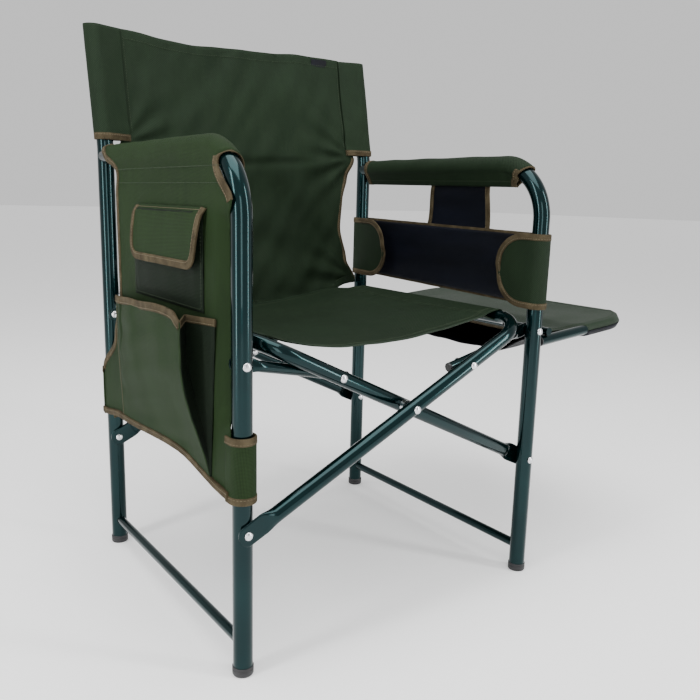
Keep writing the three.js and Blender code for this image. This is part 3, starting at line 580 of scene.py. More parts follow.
def link(name, body):
    """From the leg's pivot to the rivet on the cross tube, with a joggle between the two layers."""
    rivet, leg = middle(f"{name}_link_rivet_tail"), middle(f"{name}_upper_rivet")
    body_y = middle(f"{name}_link_plug").y
    leg_y, inner = (FRONT_Y, 1) if leg.y < MID_Y else (REAR_Y, -1)
    packing = TABLE_LINK_PACKING if name.startswith("table") else 0.0
    pressed_y = leg_y + inner * (LEG_R + GAP + packing + PRESSED_T / 2)
    start, end = Vector((leg.x, 0, UPPER_Z)), Vector((rivet.x, 0, rivet.z))
    along = (end - start).normalized()
    length = (end - start).length

    def at(s, y):
        return start + along * s + Y * y

    stations = bent_path(
        [at(-LINK_TIP, pressed_y), at(0.036, pressed_y),
         at(length - 0.034, body_y), at(length + LINK_TAIL, body_y)],
        [0.060, 0.060], steps=6, ends=(press_ends(*LINK_PRESS)[:7], ()),
    )
    normal = along.cross(Y).normalized()
    tube(f"{name}_link_smooth", body, f"{name}_link", stations, normal, LINK_R, press=(LINK_PRESS, None))
    build = Build()
    lathe(build, at(length + LINK_TAIL, body_y), along, [
        (0, -0.003), (0.0055, -0.003), (0.0055, 0.0002), (0.0071, 0.0002), (0.0071, 0.0018),
        (0.0064, 0.0028), (0, 0.0030),
    ], sides=28)
    place(build.make(f"{name}_link_plug_moulded", [PLASTIC]), body, "black_plastic", f"{name}_link_plug")


LINKS = ("pocket_front", "pocket_rear", "table_front", "table_rear")
for name in LINKS:
    link(name, f"{name}_link_body")

# ---------------------------------------------------------------- rivets

HEAD_R, HEAD_H, PIN_R = 0.0055, 0.0026, 0.0025


def dome(rise):
    """Half of a domed head's profile from its rim to its crown, as (radius, height)."""
    steps = 9
    turns = [t * math.pi / 2 / steps for t in range(steps + 1)]
    return [(HEAD_R * math.cos(turn), rise * math.sin(turn)) for turn in turns]


def rivet(node, body, first=True, last=True, shoulder=0.0):
    low, high = corners(node)
    centre = (low + high) / 2
    y0 = low.y + (HEAD_H if first else 0)
    y1 = high.y - (HEAD_H if last else 0)
    profile = [(r, y0 - h) for r, h in reversed(dome(HEAD_H))] if first else [(0, y0)]
    profile += [(PIN_R, y0), (PIN_R, y0 + 0.001)]
    if shoulder:
        inner = (y1 - y0) / 2 - 2 * CROSS_R - 2 * GAP
        mid = (y0 + y1) / 2
        profile += [(PIN_R, mid - inner), (shoulder, mid - inner)]
        profile += [(shoulder, mid + inner), (PIN_R, mid + inner)]
    profile += [(PIN_R, y1 - 0.001), (PIN_R, y1)]
    profile += [(r, y1 + h) for r, h in dome(HEAD_H)] if last else [(0, y1)]
    build = Build()
    lathe(build, Vector((centre.x, 0, centre.z)), Y, profile)
    place(build.make(f"{node}_domed", [STEEL]), body, "rivet_steel", node)


for side in ("pocket", "table"):
    for end in ("front", "rear"):
        rivet(f"{side}_{end}_lower_rivet", f"{side}_side_frame")
        rivet(f"{side}_{end}_upper_rivet", f"{side}_side_frame")
for name in LINKS:
    front = name.endswith("front")
    frame_body = "cross_a" if name.startswith("table") else "cross_b"
    rivet(f"{name}_link_rivet", frame_body, first=front, last=not front)
    rivet(f"{name}_link_rivet_tail", f"{name}_link_body", first=not front, last=front)
for end in ("front", "rear"):
    rivet(f"{end}_centre_rivet", "cross_a", shoulder=0.008)

for side, x in (("pocket", POCKET_X), ("table", TABLE_X)):
    bolt = Build()
    back = REAR_Y + LEG_R + GAP
    lathe(bolt, Vector((x, 0, ARM_Z)), Y, [
        (0, REAR_Y - LEG_R - 0.022), (0.0105, REAR_Y - LEG_R - 0.022), (0.0105, REAR_Y - LEG_R - 0.006),
        (0.0025, REAR_Y - LEG_R - 0.006), (0.0025, back), (0.0054, back), (0.0055, back + 0.0006),
        (0.0046, back + 0.0020), (0.0026, back + 0.0026), (0.0018, back + 0.0014), (0, back + 0.0012),
    ])
    place(bolt.make(f"{side}_arm_connector_turned", [STEEL]), f"{side}_side_frame", "rivet_steel",
          f"{side}_arm_connector")

# ---------------------------------------------------------------- side table frame

TABLE_OUT = Vector((math.cos(TABLE_TILT), 0, math.sin(TABLE_TILT)))
TABLE_UP = Vector((-math.sin(TABLE_TILT), 0, math.cos(TABLE_TILT)))


def on_table(out, y, up):
    """A point from the hinge rail's axis: outwards, along the row's Y, and up off the table."""
    return Vector((HINGE.x, MID_Y, HINGE.z)) + TABLE_OUT * out + Y * y + TABLE_UP * up


HALF_X, HALF_SPAN = TABLE_X - MID_X, REAR_Y - MID_Y
TABLE_END = -(HINGE.x - TABLE_X - LEG_R) + 0.0024
table_points = [
    on_table(TABLE_END, -HALF_SPAN, -ARM_DROP), on_table(TABLE_REACH, -HALF_SPAN, -ARM_DROP),
    on_table(TABLE_REACH, HALF_SPAN, -ARM_DROP), on_table(TABLE_END, HALF_SPAN, -ARM_DROP),
]
tube("table_frame_tube_smooth", "side_table", "table_frame_tube",
     bent_path(table_points, [TABLE_BEND] * 2, steps=14), TABLE_UP, TABLE_R)
rail_half = HALF_SPAN + TABLE_R
tube("table_hinge_rail_smooth", "side_table", "table_hinge_rail",
     bent_path([on_table(0, -rail_half, 0), on_table(0, rail_half, 0)], []), TABLE_UP, RAIL_R)
for end, sign in (("front", -1), ("rear", 1)):
    plug = Build()
    lathe(plug, on_table(TABLE_END, sign * HALF_SPAN, -ARM_DROP), -TABLE_OUT, [
        (0, -0.003), (0.0062, -0.003), (0.0062, 0.0002), (0.0081, 0.0002), (0.0080, 0.0014),
        (0.0072, 0.0018), (0, 0.0018),
    ])
    place(plug.make(f"table_{end}_plug_moulded", [PLASTIC]), "side_table", "black_plastic",
          f"table_{end}_plug")

for end in ("front", "rear"):
    bracket = frame["nodes"][f"table_{end}_bracket"]
    bracket.data.materials.clear()
    bracket.data.materials.append(ENAMEL)

# ---------------------------------------------------------------- sewing


def resample(points, step):
    """Points the same distance apart along a polyline, with the direction at each."""
    points = [Vector(p) for p in points]
    lengths = [(b - a).length for a, b in zip(points, points[1:])]
    total = sum(lengths)
    count = max(2, round(total / step))
    result, index, passed = [], 0, 0.0
    for k in range(count + 1):
        want = min(total * k / count, total - 1e-9)
        while index < len(lengths) - 1 and passed + lengths[index] < want:
            passed += lengths[index]
            index += 1
        t = (want - passed) / max(lengths[index], 1e-9)
        result.append(points[index].lerp(points[index + 1], min(1.0, t)))
    result = smooth_line(result)
    headings = []
    for k in range(len(result)):
        a, b = result[max(0, k - 1)], result[min(len(result) - 1, k + 1)]
        headings.append((b - a).normalized())
    return list(zip(result, headings))


def smooth_line(points):
    inner = [(a + b * 2 + c) / 4 for a, b, c in zip(points, points[1:], points[2:])]
    return [points[0], *inner, points[-1]]


STITCH_R = 0.00042
STITCH_LENGTH, STITCH_PITCH = 0.0030, 0.0043
THREAD_LIFT = 0.0006
TAPE_STEP, HEM_STEP = 0.004, 0.006


def stitches(build, path, lift, slot=0):
    """Short raised threads along a path of (point, heading); lift(share, point, heading) points out."""
    walk = resample([p for p, _ in path], STITCH_PITCH)
    for k in range(len(walk) - 1):
        (a, heading), (b, _) = walk[k], walk[k + 1]
        up = lift(k / (len(walk) - 1), a, heading).normalized()
        side = heading.cross(up).normalized()
        run = (b - a) * (STITCH_LENGTH / STITCH_PITCH)
        rings = []
        for t, size in ((0.0, 0.45), (0.18, 1.0), (0.82, 1.0), (1.0, 0.45)):
            centre = a + run * t + up * (STITCH_R * (0.4 + 0.5 * math.sin(math.pi * t)))
            ring = [centre + (side * math.cos(q) + up * math.sin(q)) * STITCH_R * size
                    for q in (math.pi * i / 3 for i in range(6))]
            rings.append(ring)
        build.rings(rings, slot=slot)


def binding(name, body, line, inward, normal, width=0.0085, half=0.0016):
    """Tape folded over a cloth's edge, with a row of stitches on both faces. inward and normal are
    functions of a point and its heading that point into the cloth and out of its face."""
    build = Build()
    shape = [(-0.0013, 0.0), (-0.0009, 0.75), (0.0006, 1.0), (width * 0.5, 1.04),
             (width - 0.0006, 1.0), (width, 0.55), (width, -0.55), (width - 0.0006, -1.0),
             (width * 0.5, -1.04), (0.0006, -1.0), (-0.0009, -0.75)]
    rings, uvs, stitched = [], [], [[], []]
    for k, (p, heading) in enumerate(resample(line, TAPE_STEP)):
        face = normal(p, heading).normalized()
        into = inward(p, heading)
        into = (into - heading * into.dot(heading) - face * into.dot(face)).normalized()
        wobble = 0.00025 * noise.noise(p * 60)
        rings.append([p + into * (a + wobble) + face * (b * half) for a, b in shape])
        uvs += [(k * TAPE_STEP, abs(a) if b >= 0 else -abs(a)) for a, b in shape]
        for row, sign in zip(stitched, (1, -1)):
            row.append((p + into * (width * 0.72) + face * sign * half * 1.02, heading))
    build.rings(rings, uvs=uvs)
    for row, sign in zip(stitched, (1, -1)):
        stitches(build, row, lambda t, p, h, s=sign: normal(p, h) * s, slot=1)
    return place(build.make(name, [TAPE, TAN_THREAD], smooth=50), body, "tan_binding")


def seam(name, body, lines, lift, material=GREEN_THREAD, piece_slot="green_cloth", both=0.0):
    """Rows of stitches on a cloth, on one face or, at the given half thickness, on both."""
    build = Build()
    for line in lines:
        for sign in ((1, -1) if both else (1,)):
            out = sign * max(both, THREAD_LIFT)
            path = [(p + lift(0, p, X).normalized() * out, X) for p in line]
            stitches(build, path, lambda t, p, h, s=sign: lift(t, p, h) * s)
    return place(build.make(name, [material], smooth=50), body, piece_slot)


def along_line(points, share):
    """The point a share of the way along a polyline."""
    lengths = [(b - a).length for a, b in zip(points, points[1:])]
    want = share * sum(lengths)
    for a, b, length in zip(points, points[1:], lengths):
        if want <= length:
            return a.lerp(b, want / max(length, 1e-9))
        want -= length
    return points[-1].copy()


def length_of(points):
    return sum((b - a).length for a, b in zip(points, points[1:]))


def between(value, *stops):
    """Smooth value through (place, result) stops."""
    if value <= stops[0][0]:
        return stops[0][1]
    for (a, low), (b, high) in zip(stops, stops[1:]):
        if value <= b:
            return lerp(low, high, smoothstep(value, a, b))
    return stops[-1][1]


def wrinkle(a, b, seed, pitch=0.05, size=0.001):
    """A soft crease height from two cloth coordinates in metres."""
    return size * noise.noise(Vector((a / pitch, b / pitch, seed)))


def chair(x, y, z):
    """A point from the middle of the chair."""
    return Vector((MID_X + x, MID_Y + y, z))


def cloth(name, body, slot, nodes, point, cells, size, material, held, thickness=0.0013, **declared):
    piece = sheet(name, point, *cells, size, material, thickness)
    place(piece, body, slot, *nodes)
    return piece


SLEEVE_R = LEG_R + 0.0023

# ---------------------------------------------------------------- seat

SEAT_FRONT, SEAT_REAR = -0.203, 0.197
WRAP_R = CROSS_R + 0.0017
SEAM_IN = 0.034


def seat_height(x):
    t = max(-1.0, min(1.0, x / RAIL_X))
    return RAIL_Z + WRAP_R - 0.0266 * (1 - t * t) * (1 - 0.62 * t)


def seat_section():
    """The seat's line across the chair in x and z, from one inner seam to the other."""
    line = []
    for sign, leave in ((-1, 22), (1, 6)):
        centre = Vector((sign * RAIL_X, 0, RAIL_Z))
        seam_x = sign * (RAIL_X - SEAM_IN)
        part = [Vector((seam_x, 0, seat_height(seam_x) - 0.0026))]
        for k in range(15):
            angle = math.radians(lerp(-140, leave, k / 14))
            part.append(centre + Vector((-sign * math.sin(angle), 0, math.cos(angle))) * WRAP_R)
        line.append(part)
    left, right = line[0], list(reversed(line[1]))
    top = [Vector((x, 0, seat_height(x))) for x in spread(left[-1].x + 0.006, right[0].x - 0.006, 40)]
    return left + top + right


SEAT_LINE = seat_section()
SEAT_GIRTH = length_of(SEAT_LINE)


def seat_edge(x, front):
    """Where the seat's front or rear edge lies at x; the sleeves are cut back to the rails' bends."""
    flat = SEAT_FRONT if front else SEAT_REAR
    wrap_short, wrap_long = (-0.157, -0.185) if front else (0.185, 0.157)
    wrap = wrap_short if x < 0 else wrap_long
    cut = smoothstep(abs(x), RAIL_X - 0.062, RAIL_X - 0.016)
    bow = 0.0025 * (1 - (x / RAIL_X) ** 2) * (1 if front else -1)
    return lerp(flat + bow, wrap, cut)


def on_seat(u, y=None, v=0.0):
    p = along_line(SEAT_LINE, u)
    low, high = seat_edge(p.x, True), seat_edge(p.x, False)
    y = lerp(low, high, v) if y is None else y
    inside = 1 - smoothstep(abs(p.x), RAIL_X - 0.030, RAIL_X)
    sag = -0.004 * inside * math.sin(math.pi * (y - SEAT_FRONT) / (SEAT_REAR - SEAT_FRONT))
    ripple = wrinkle(p.x * 0.35, y, 3.1, 0.05, 0.0018) + wrinkle(p.x, y * 0.3, 9.2, 0.035, 0.0012)
    pull = 0.0010 * math.sin((y + 0.02 * p.x) * 210) * smoothstep(abs(p.x), 0.12, 0.20) * inside
    p.z += sag + ripple * inside + pull
    return chair(p.x, y, p.z)


seat_pieces = [cloth(
    "seat_cloth", None, "green_cloth", ["seat_table_half", "seat_pocket_half"],
    lambda u, v: on_seat(u, v=v), (110, 64), (SEAT_GIRTH, SEAT_REAR - SEAT_FRONT), GREEN, "hung",
)]
U_LOW, U_HIGH = 0.13, 0.87


def seat_row(front, inset):
    return [on_seat(u, y=seat_edge(along_line(SEAT_LINE, u).x, front) + (inset if front else -inset))
            for u in spread(U_LOW, U_HIGH, 60)]


def rail_rows(sign):
    """The double stitch line along each rail that closes its sleeve."""
    rows = []
    for inset in (SEAM_IN, SEAM_IN - 0.005):
        x = sign * (RAIL_X - inset)
        low, high = seat_edge(x, True) + 0.004, seat_edge(x, False) - 0.004
        best = min((abs(along_line(SEAT_LINE, k / 400).x - x), k / 400) for k in range(60, 341))[1]
        rows.append([on_seat(best, y=lerp(low, high, k / 30)) for k in range(31)])
    return rows


seat_seams = [seat_row(True, 0.012), seat_row(True, 0.0155), seat_row(False, 0.012)]
seat_seams += [*rail_rows(-1), *rail_rows(1)]
seat_pieces.append(seam("seat_stitches", None, seat_seams, lambda t, p, h: Z))


def hem(name, body, slot, line, across, out, width, half, material):
    """A folded strip along a cloth's edge: across points into the cloth, out off its face."""
    build = Build()
    shape = [(-0.0006, 0.0), (0.0, 0.8), (width * 0.5, 1.0), (width, 0.7), (width, -0.7),
             (width * 0.5, -1.0), (0.0, -0.8)]
    rings, uvs = [], []
    for k, (p, _) in enumerate(resample(line, HEM_STEP)):
        rings.append([p + across * a + out * (b * half) for a, b in shape])
        uvs += [(k * HEM_STEP, a + b * 0.001) for a, b in shape]
    build.rings(rings, uvs=uvs)
    return place(build.make(name, [material], smooth=60), body, slot)


for front, name in ((True, "front"), (False, "rear")):
    inward = Y if front else -Y
    seat_pieces.append(hem(f"seat_{name}_hem", None, "green_cloth", seat_row(front, 0.0), inward, Z,
                           0.003, 0.0013, TABLE_CLOTH))
for piece in seat_pieces:
    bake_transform(piece)

# ---------------------------------------------------------------- back

STITCH_X = HALF_X - 0.040
SLEEVE_BOTTOM, BACK_TOP = 0.666, 0.834


def back_half_width(z):
    return between(z, (0.408, 0.240), (0.427, 0.236), (0.471, 0.209), (0.530, 0.198), (0.585, 0.199),
                   (0.623, 0.209), (0.657, 0.226), (0.663, 0.226), (0.676, STITCH_X))


def back_bottom(x):
    return between(abs(x), (0.100, 0.389), (0.150, 0.4025), (0.195, 0.4235), (0.24, 0.4235))


def back_top(x):
    """Higher at the posts, with one crest and one dip between them."""
    corner = 0.0035 * smoothstep(abs(x), 0.14, 0.20)
    crest = 0.0065 * math.exp(-((x - 0.13) / 0.055) ** 2)
    dip = 0.0045 * math.exp(-((x + 0.09) / 0.06) ** 2)
    return BACK_TOP + corner + crest - dip


def back_plane(x, z):
    """How far behind the chair's middle the cloth lies."""
    y = HALF_SPAN + lean_y(z)
    belly = (1 - min(1, abs(x) / STITCH_X) ** 2) * smoothstep(z, 0.44, 0.58)
    skirt = -0.018 * smoothstep(0.51 - z, 0, 0.09) * (1 - smoothstep(abs(x), 0.19, 0.236))
    return y + 0.008 * belly + skirt


def corner_fan(dx, dz, sign, up, wave, reaches):
    """Creases that radiate from a corner. wave is (height, count, phase), and reaches says how far
    out they are full, begin to fade and are gone."""
    size, count, phase = wave
    full, fading, gone = reaches
    reach = math.hypot(dx, dz)
    fan = math.atan2(up * dz, -sign * dx)
    height = size * math.sin(fan * count + phase) * smoothstep(reach, 0.01, full)
    return height * (1 - smoothstep(reach, fading, gone))


def back_creases(x, z):
    """Diagonal wrinkles, a crosswise crease behind the sitter, and fans at the four corners."""
    edge = smoothstep(STITCH_X + 0.02 - abs(x), 0.0, 0.05)
    height = wrinkle(x + 0.7 * z, (z - 0.7 * x) * 0.35, 1.7, 0.045, 0.0034)
    height += wrinkle(x - 0.6 * z, (z + 0.6 * x) * 0.3, 5.3, 0.032, 0.0026)
    crease_z = 0.640 + 0.010 * math.sin(9 * x)
    height += 0.0022 * math.exp(-((z - crease_z) / 0.007) ** 2) * smoothstep(0.17 - abs(x), 0, 0.08)
    for sign in (-1, 1):
        height += corner_fan(x - sign * 0.235, z - 0.43, sign, 1, (0.0024, 15, sign), (0.05, 0.08, 0.17))
        height += corner_fan(x - sign * 0.225, z - 0.66, sign, -1, (0.0020, 13, 2 * sign), (0.04, 0.06, 0.14))
    return 1.5 * height * edge


def on_back(x, z):
    return chair(x, back_plane(x, z) + back_creases(x, z), z)


def back_point(u, v):
    s = 2 * u - 1
    z = lerp(0.42, BACK_TOP, v)
    x = s * back_half_width(z)
    z = lerp(back_bottom(x), back_top(x), v)
    return on_back(s * back_half_width(z), z)


back_pieces = [cloth(
    "back_cloth", None, "green_cloth", ["back_table_half", "back_pocket_half"],
    back_point, (84, 96), (2 * STITCH_X, BACK_TOP - 0.41), GREEN, "stretched",
)]


def back_waist_line(sign):
    return [on_back(sign * back_half_width(z), z) for z in spread(0.431, 0.661, 50)]


for sign, name in ((-1, "pocket"), (1, "table")):
    back_pieces.append(binding(
        f"back_{name}_waist_tape", None, back_waist_line(sign),
        lambda p, h, s=sign: -X * s, lambda p, h: -Y, width=0.006, half=0.0015,
    ))
back_rows = []
for sign in (-1, 1):
    for inset in (0.0, 0.005):
        back_rows.append([on_back(sign * (STITCH_X - inset), z) for z in spread(0.680, 0.828, 40)])
back_rows.append([on_back(x, back_top(x) - 0.014) for x in spread(-0.205, 0.205, 60)])
back_rows.append([on_back(x, back_bottom(x) + 0.012) for x in spread(-0.19, 0.19, 60)])
post_out = Vector((0, -math.cos(LEAN), math.sin(LEAN)))
back_pieces.append(seam("back_stitches", None, back_rows, lambda t, p, h: post_out, both=0.0009))
top_line = [on_back(x, back_top(x)) for x in spread(-0.209, 0.209, 60)]
back_pieces.append(hem("back_top_hem", None, "green_cloth", top_line, -Z, -Y, 0.016, 0.0014, GREEN))
foot_line = [on_back(x, back_bottom(x)) for x in spread(-0.234, 0.234, 60)]
back_pieces.append(hem("back_bottom_hem", None, "green_cloth", foot_line, Z, -Y, 0.014, 0.0014, GREEN))

tag = Build()
TAG_X, TAG_W, TAG_H = 0.168, 0.030, 0.013
tag_rings = []
for k in range(9):
    x = TAG_X - TAG_W / 2 + TAG_W * k / 8
    top = on_back(x, back_top(x) - 0.0035)
    low = top - Z * TAG_H
    tag_rings.append([top + post_out * 0.0020, top + post_out * 0.0027,
                      low + post_out * 0.0029, low + post_out * 0.0020])
tag.rings(tag_rings, uvs=[(k * 0.004, d * 0.004) for k in range(9) for d in range(4)])
back_pieces.append(place(tag.make("plain_tag", [LINING]), None, "dark_lining"))
for piece in back_pieces:
    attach(piece, "pocket_side_frame")
    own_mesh(piece)


def loop_section(to_stitch, radius=SLEEVE_R, spread=0.0016, steps=18):
    """Closed line round a tube at the origin, drawn out to a seam at distance to_stitch along +x."""
    turn = math.acos(radius / to_stitch)
    line = [Vector((to_stitch, spread))]
    for k in range(steps + 1):
        angle = lerp(turn, 2 * math.pi - turn, k / steps)
        line.append(Vector((math.cos(angle), math.sin(angle))) * radius)
    line.append(Vector((to_stitch, -spread)))
    return line


def back_sleeve(side, sign, body):
    section = loop_section(0.041)
    girth = length_of(section)

    def point(u, v):
        p = along_line(section, u)
        z = lerp(SLEEVE_BOTTOM, back_top(HALF_X), v)
        slack = wrinkle(u * girth, v * 0.17, 7 + sign, 0.03, 0.0008) * smoothstep(0.5 - abs(u - 0.5), 0, 0.1)
        x = sign * HALF_X - sign * p.x
        flat = smoothstep(p.x, 0.0, 0.038)
        y = HALF_SPAN + lean_y(z) + p.y + slack + back_creases(sign * STITCH_X, z) * flat
        return chair(x, y, z)

    cloth(f"back_{side}_sleeve", body, "green_cloth", [], point, (56, 36), (girth, 0.168), GREEN, "stretched",
          area=girth * 0.167)
    line = [point(k / 60, 0.0) for k in range(61)]
    axis = chair(sign * HALF_X, HALF_SPAN, SLEEVE_BOTTOM)

    def face(p, h):
        if (p - axis).length < 0.018:
            return (p - axis).cross(Z).cross(Z) * -1
        return Y if p.y > axis.y else -Y

    binding(f"back_{side}_sleeve_tape", body, line, lambda p, h: Z, face, width=0.009, half=0.0013)


back_sleeve("pocket", -1, "pocket_side_frame")
back_sleeve("table", 1, "table_side_frame")

# ---------------------------------------------------------------- arm sleeves

BEND_START = -HALF_SPAN + ARM_BEND


def round_arm(side_x, sign, y, angle, radius):
    """A point round the arm tube: angle 0 is its outer side, 90 degrees its top."""
    rise = radius * math.sin(angle)
    x = side_x + sign * radius * math.cos(angle)
    ahead = BEND_START - y
    if ahead <= 0:
        return Vector((x, y, ARM_Z + rise))
    reach = (ARM_BEND + rise) ** 2 - ahead**2
    return Vector((x, y, ARM_Z - ARM_BEND + math.sqrt(max(reach, 0.0))))


PANEL_X = -HALF_X - LEG_R - 0.0027


def panel_front(z):
    return between(z, (0.31, -0.2230), (0.560, -0.2230), (0.5811, -0.2290), (0.6096, -0.2056),
                   (0.6427, -0.1945), (0.66, -0.204))


def panel_rear(z):
    return between(z, (0.3084, 0.2230), (0.3657, 0.1632), (0.4368, 0.1332), (0.600, 0.1350),
                   (0.614, 0.1370), (0.655, 0.204))


def panel_bottom(y):
    return between(y, (-0.2216, 0.2330), (-0.0743, 0.2525), (0.1412, 0.2419), (0.2205, 0.2327))


WRAP_SHARE = 0.18


def panel_cloth_point(u, v):
    """v runs from the inner seam under the arm, over the arm tube and down the outside to the bottom."""
    if v < WRAP_SHARE:
        angle = math.radians(lerp(262, 0, v / WRAP_SHARE))
        z = ARM_Z + SLEEVE_R * math.sin(angle)
        low, high = panel_front(max(z, 0.630)), panel_rear(z)
        if angle > math.pi:
            low, high = -0.1990, 0.150
        elif angle > math.pi / 2:
            high = lerp(0.204, 0.165, smoothstep(angle, math.pi / 2, math.pi))
            low = lerp(-0.204, -0.2010, smoothstep(angle, math.pi / 2, math.pi))
        y = lerp(low, high, u)
        p = round_arm(-HALF_X, -1, y, angle, SLEEVE_R + 0.0004)
        p.z += wrinkle(y, angle * 0.02, 4.4, 0.03, 0.0006)
        return chair(*p)
    share = (v - WRAP_SHARE) / (1 - WRAP_SHARE)
    start_y = lerp(panel_front(ARM_Z), panel_rear(ARM_Z), u)
    start = round_arm(-HALF_X, -1, start_y, 0, SLEEVE_R)
    z = lerp(start.z, panel_bottom(lerp(-0.223, 0.223, u)), share)
    y = lerp(start_y, lerp(panel_front(z), panel_rear(z), u), smoothstep(share, 0, 0.05))
    x = PANEL_X + wrinkle(y, z, 2.2, 0.06, 0.0016) * smoothstep(min(u, 1 - u), 0, 0.08)
    under_arm = smoothstep(0.634 - z, 0, 0.02) * (1 - smoothstep(0.614 - z, 0, 0.03))
    x += 0.0025 * under_arm * smoothstep(u, 0.05, 0.2)
    tuck = smoothstep(z, 0.315, 0.345) * smoothstep(0.575 - z, 0, 0.03)
    y += 0.0190 * tuck * (1 - u) ** 8
    x += 0.0122 * tuck * smoothstep(-0.184 - y, 0, 0.022)
    return chair(x, y, z)


POCKET_BODY = "pocket_side_frame"
cloth("organiser_panel", POCKET_BODY, "olive_cloth", ["pocket_side_panel"], panel_cloth_point,
      (72, 110), (0.46, 0.50), OLIVE, "hung", area=0.185)


def arm_face(drop):
    """Out of the panel's face below the arm, and off the arm tube's axis, less a drop, above."""
    return lambda p, h: p - chair(-HALF_X, p.y - MID_Y, ARM_Z - drop)


rear_v = 1 - (1 - WRAP_SHARE) * 0.18
rear_line = [panel_cloth_point(1.0, v) for v in spread(WRAP_SHARE * 0.55, rear_v, 60)]
binding("organiser_edge_tapes", POCKET_BODY, rear_line, lambda p, h: -Y,
        lambda p, h: -X if p.z < ARM_Z else arm_face(0)(p, h), width=0.009)
mouth = [panel_cloth_point(0.0, v) for v in spread(0.004, WRAP_SHARE + 0.085, 60)]
binding("organiser_mouth_tape", POCKET_BODY, mouth, lambda p, h: Y + Z * 0.2,
        lambda p, h: -X if p.z < 0.63 and p.x < POCKET_X else arm_face(0.008)(p, h), width=0.010)
bottom_line = [chair(PANEL_X - 0.0016, y, panel_bottom(y)) for y in spread(-0.2200, 0.2230, 60)]
binding("organiser_bottom_tape", POCKET_BODY, bottom_line, lambda p, h: Z, lambda p, h: -X,
        width=0.009, half=0.0029)
panel_rows = [[chair(PANEL_X - 0.0002, y, z) for y in spread(-0.200, 0.128, 50)] for z in (0.618, 0.599)]
seam("organiser_stitches", POCKET_BODY, panel_rows, lambda t, p, h: -X, piece_slot="olive_cloth", both=0.0014)


def leg_strap(name, leg_y, inward, lap, low, high):
    """A strap from the panel's plane round a leg and back to the panel's inner face."""
    outer = -(SLEEVE_R + 0.0016)
    line = [Vector((outer, inward * lap)), Vector((outer, inward * lap * 0.5))]
    for k in range(19):
        angle = math.pi * k / 18
        line.append(Vector((outer * math.cos(angle), -inward * abs(outer) * math.sin(angle))))
    line += [Vector((-outer * 0.85, inward * 0.020)), Vector((outer * 0.75, inward * 0.034))]
    girth = length_of(line)

    def point(u, v):
        p = along_line(line, u)
        return chair(p.x - HALF_X, leg_y + p.y, lerp(low, high, v))

    cloth(name, POCKET_BODY, "olive_cloth", [], point, (60, 14), (girth, high - low), OLIVE, "stretched")
    centre = chair(-HALF_X, leg_y, 0)

    def face(p, h):
        if (p.y - centre.y) * inward > 0:
            return X if p.x > centre.x else -X
        return Vector((p.x - centre.x, p.y - centre.y, 0))

    for share, up, end in ((0.0, Z, "bottom"), (1.0, -Z, "top")):
        edge = [point(k / 50, share) for k in range(51)]
        binding(f"{name}_{end}_tape", POCKET_BODY, edge, lambda p, h, i=up: i, face, width=0.0085)


leg_strap("front_leg_strap", -HALF_SPAN, 1, 0.010, 0.2290, 0.3090)
leg_strap("rear_leg_strap", HALF_SPAN, -1, 0.002, 0.2300, 0.3060)

# ---------------------------------------------------------------- pockets and flap

SMALL = {"front": -0.160, "rear": 0.062, "bottom": 0.447, "top": 0.566}
SMALL_X = PANEL_X - 0.0022


def small_pocket_point(u, v):
    y = lerp(SMALL["front"], SMALL["rear"], u)
    z = lerp(SMALL["bottom"], SMALL["top"], v)
    edge = smoothstep(u, 0, 0.10) * smoothstep(1 - u, 0, 0.10) * smoothstep(v, 0, 0.14)
    bulge = 0.0050 * edge * (0.55 + 0.45 * v) + wrinkle(y, z, 6.1, 0.05, 0.0014) * edge
    pleat = 0.0028 * math.exp(-((u - 0.045) / 0.018) ** 2) * smoothstep(v, 0, 0.2)
    return chair(SMALL_X - bulge + pleat * 0.4, y, z)


# The small pocket wears the darker copy of the olive cloth: painted shade.
cloth("small_pocket_cloth", POCKET_BODY, "olive_cloth", ["small_pocket"], small_pocket_point, (48, 36),
      (SMALL["rear"] - SMALL["front"], SMALL["top"] - SMALL["bottom"]), OLIVE_PAINTED_SHADE, "hung")


def small_line(*ends):
    points = []
    for (u0, v0), (u1, v1) in zip(ends, ends[1:]):
        points += [small_pocket_point(u, v) for u, v in zip(spread(u0, u1, 40), spread(v0, v1, 40))]
    return points


seam("small_pocket_stitches", POCKET_BODY,
     [small_line((0.02, 0.98), (0.02, 0.03), (0.98, 0.03), (0.98, 0.98))],
     lambda t, p, h: -X, piece_slot="olive_cloth")

FLAP = {"front": -0.170, "rear": 0.046, "bottom": 0.4985, "top": 0.5715, "corner": 0.024}
FLAP_X = SMALL_X - 0.0052


def flap_edge(u, v):
    """Rounded lower corners."""
    y = lerp(FLAP["front"], FLAP["rear"], u)
    near = min(y - FLAP["front"], FLAP["rear"] - y)
    corner = FLAP["corner"]
    rise = 0.0
    if near < corner:
        rise = corner - math.sqrt(max(0.0, corner**2 - (corner - near) ** 2))
    return y + 0.009 * (1 - u) * (1 - v), lerp(FLAP["bottom"] + rise, FLAP["top"], v)


def flap_point(u, v):
    y, z = flap_edge(u, v)
    down = (FLAP["top"] - z) / (FLAP["top"] - FLAP["bottom"])
    out = 0.0068 * down + 0.0016 * math.sin(math.pi * down) + wrinkle(y, z, 8.8, 0.06, 0.0014) * down
    hinge = 0.0050 * (1 - smoothstep(down, 0.0, 0.16))
    return chair(FLAP_X + hinge - out, y, z)


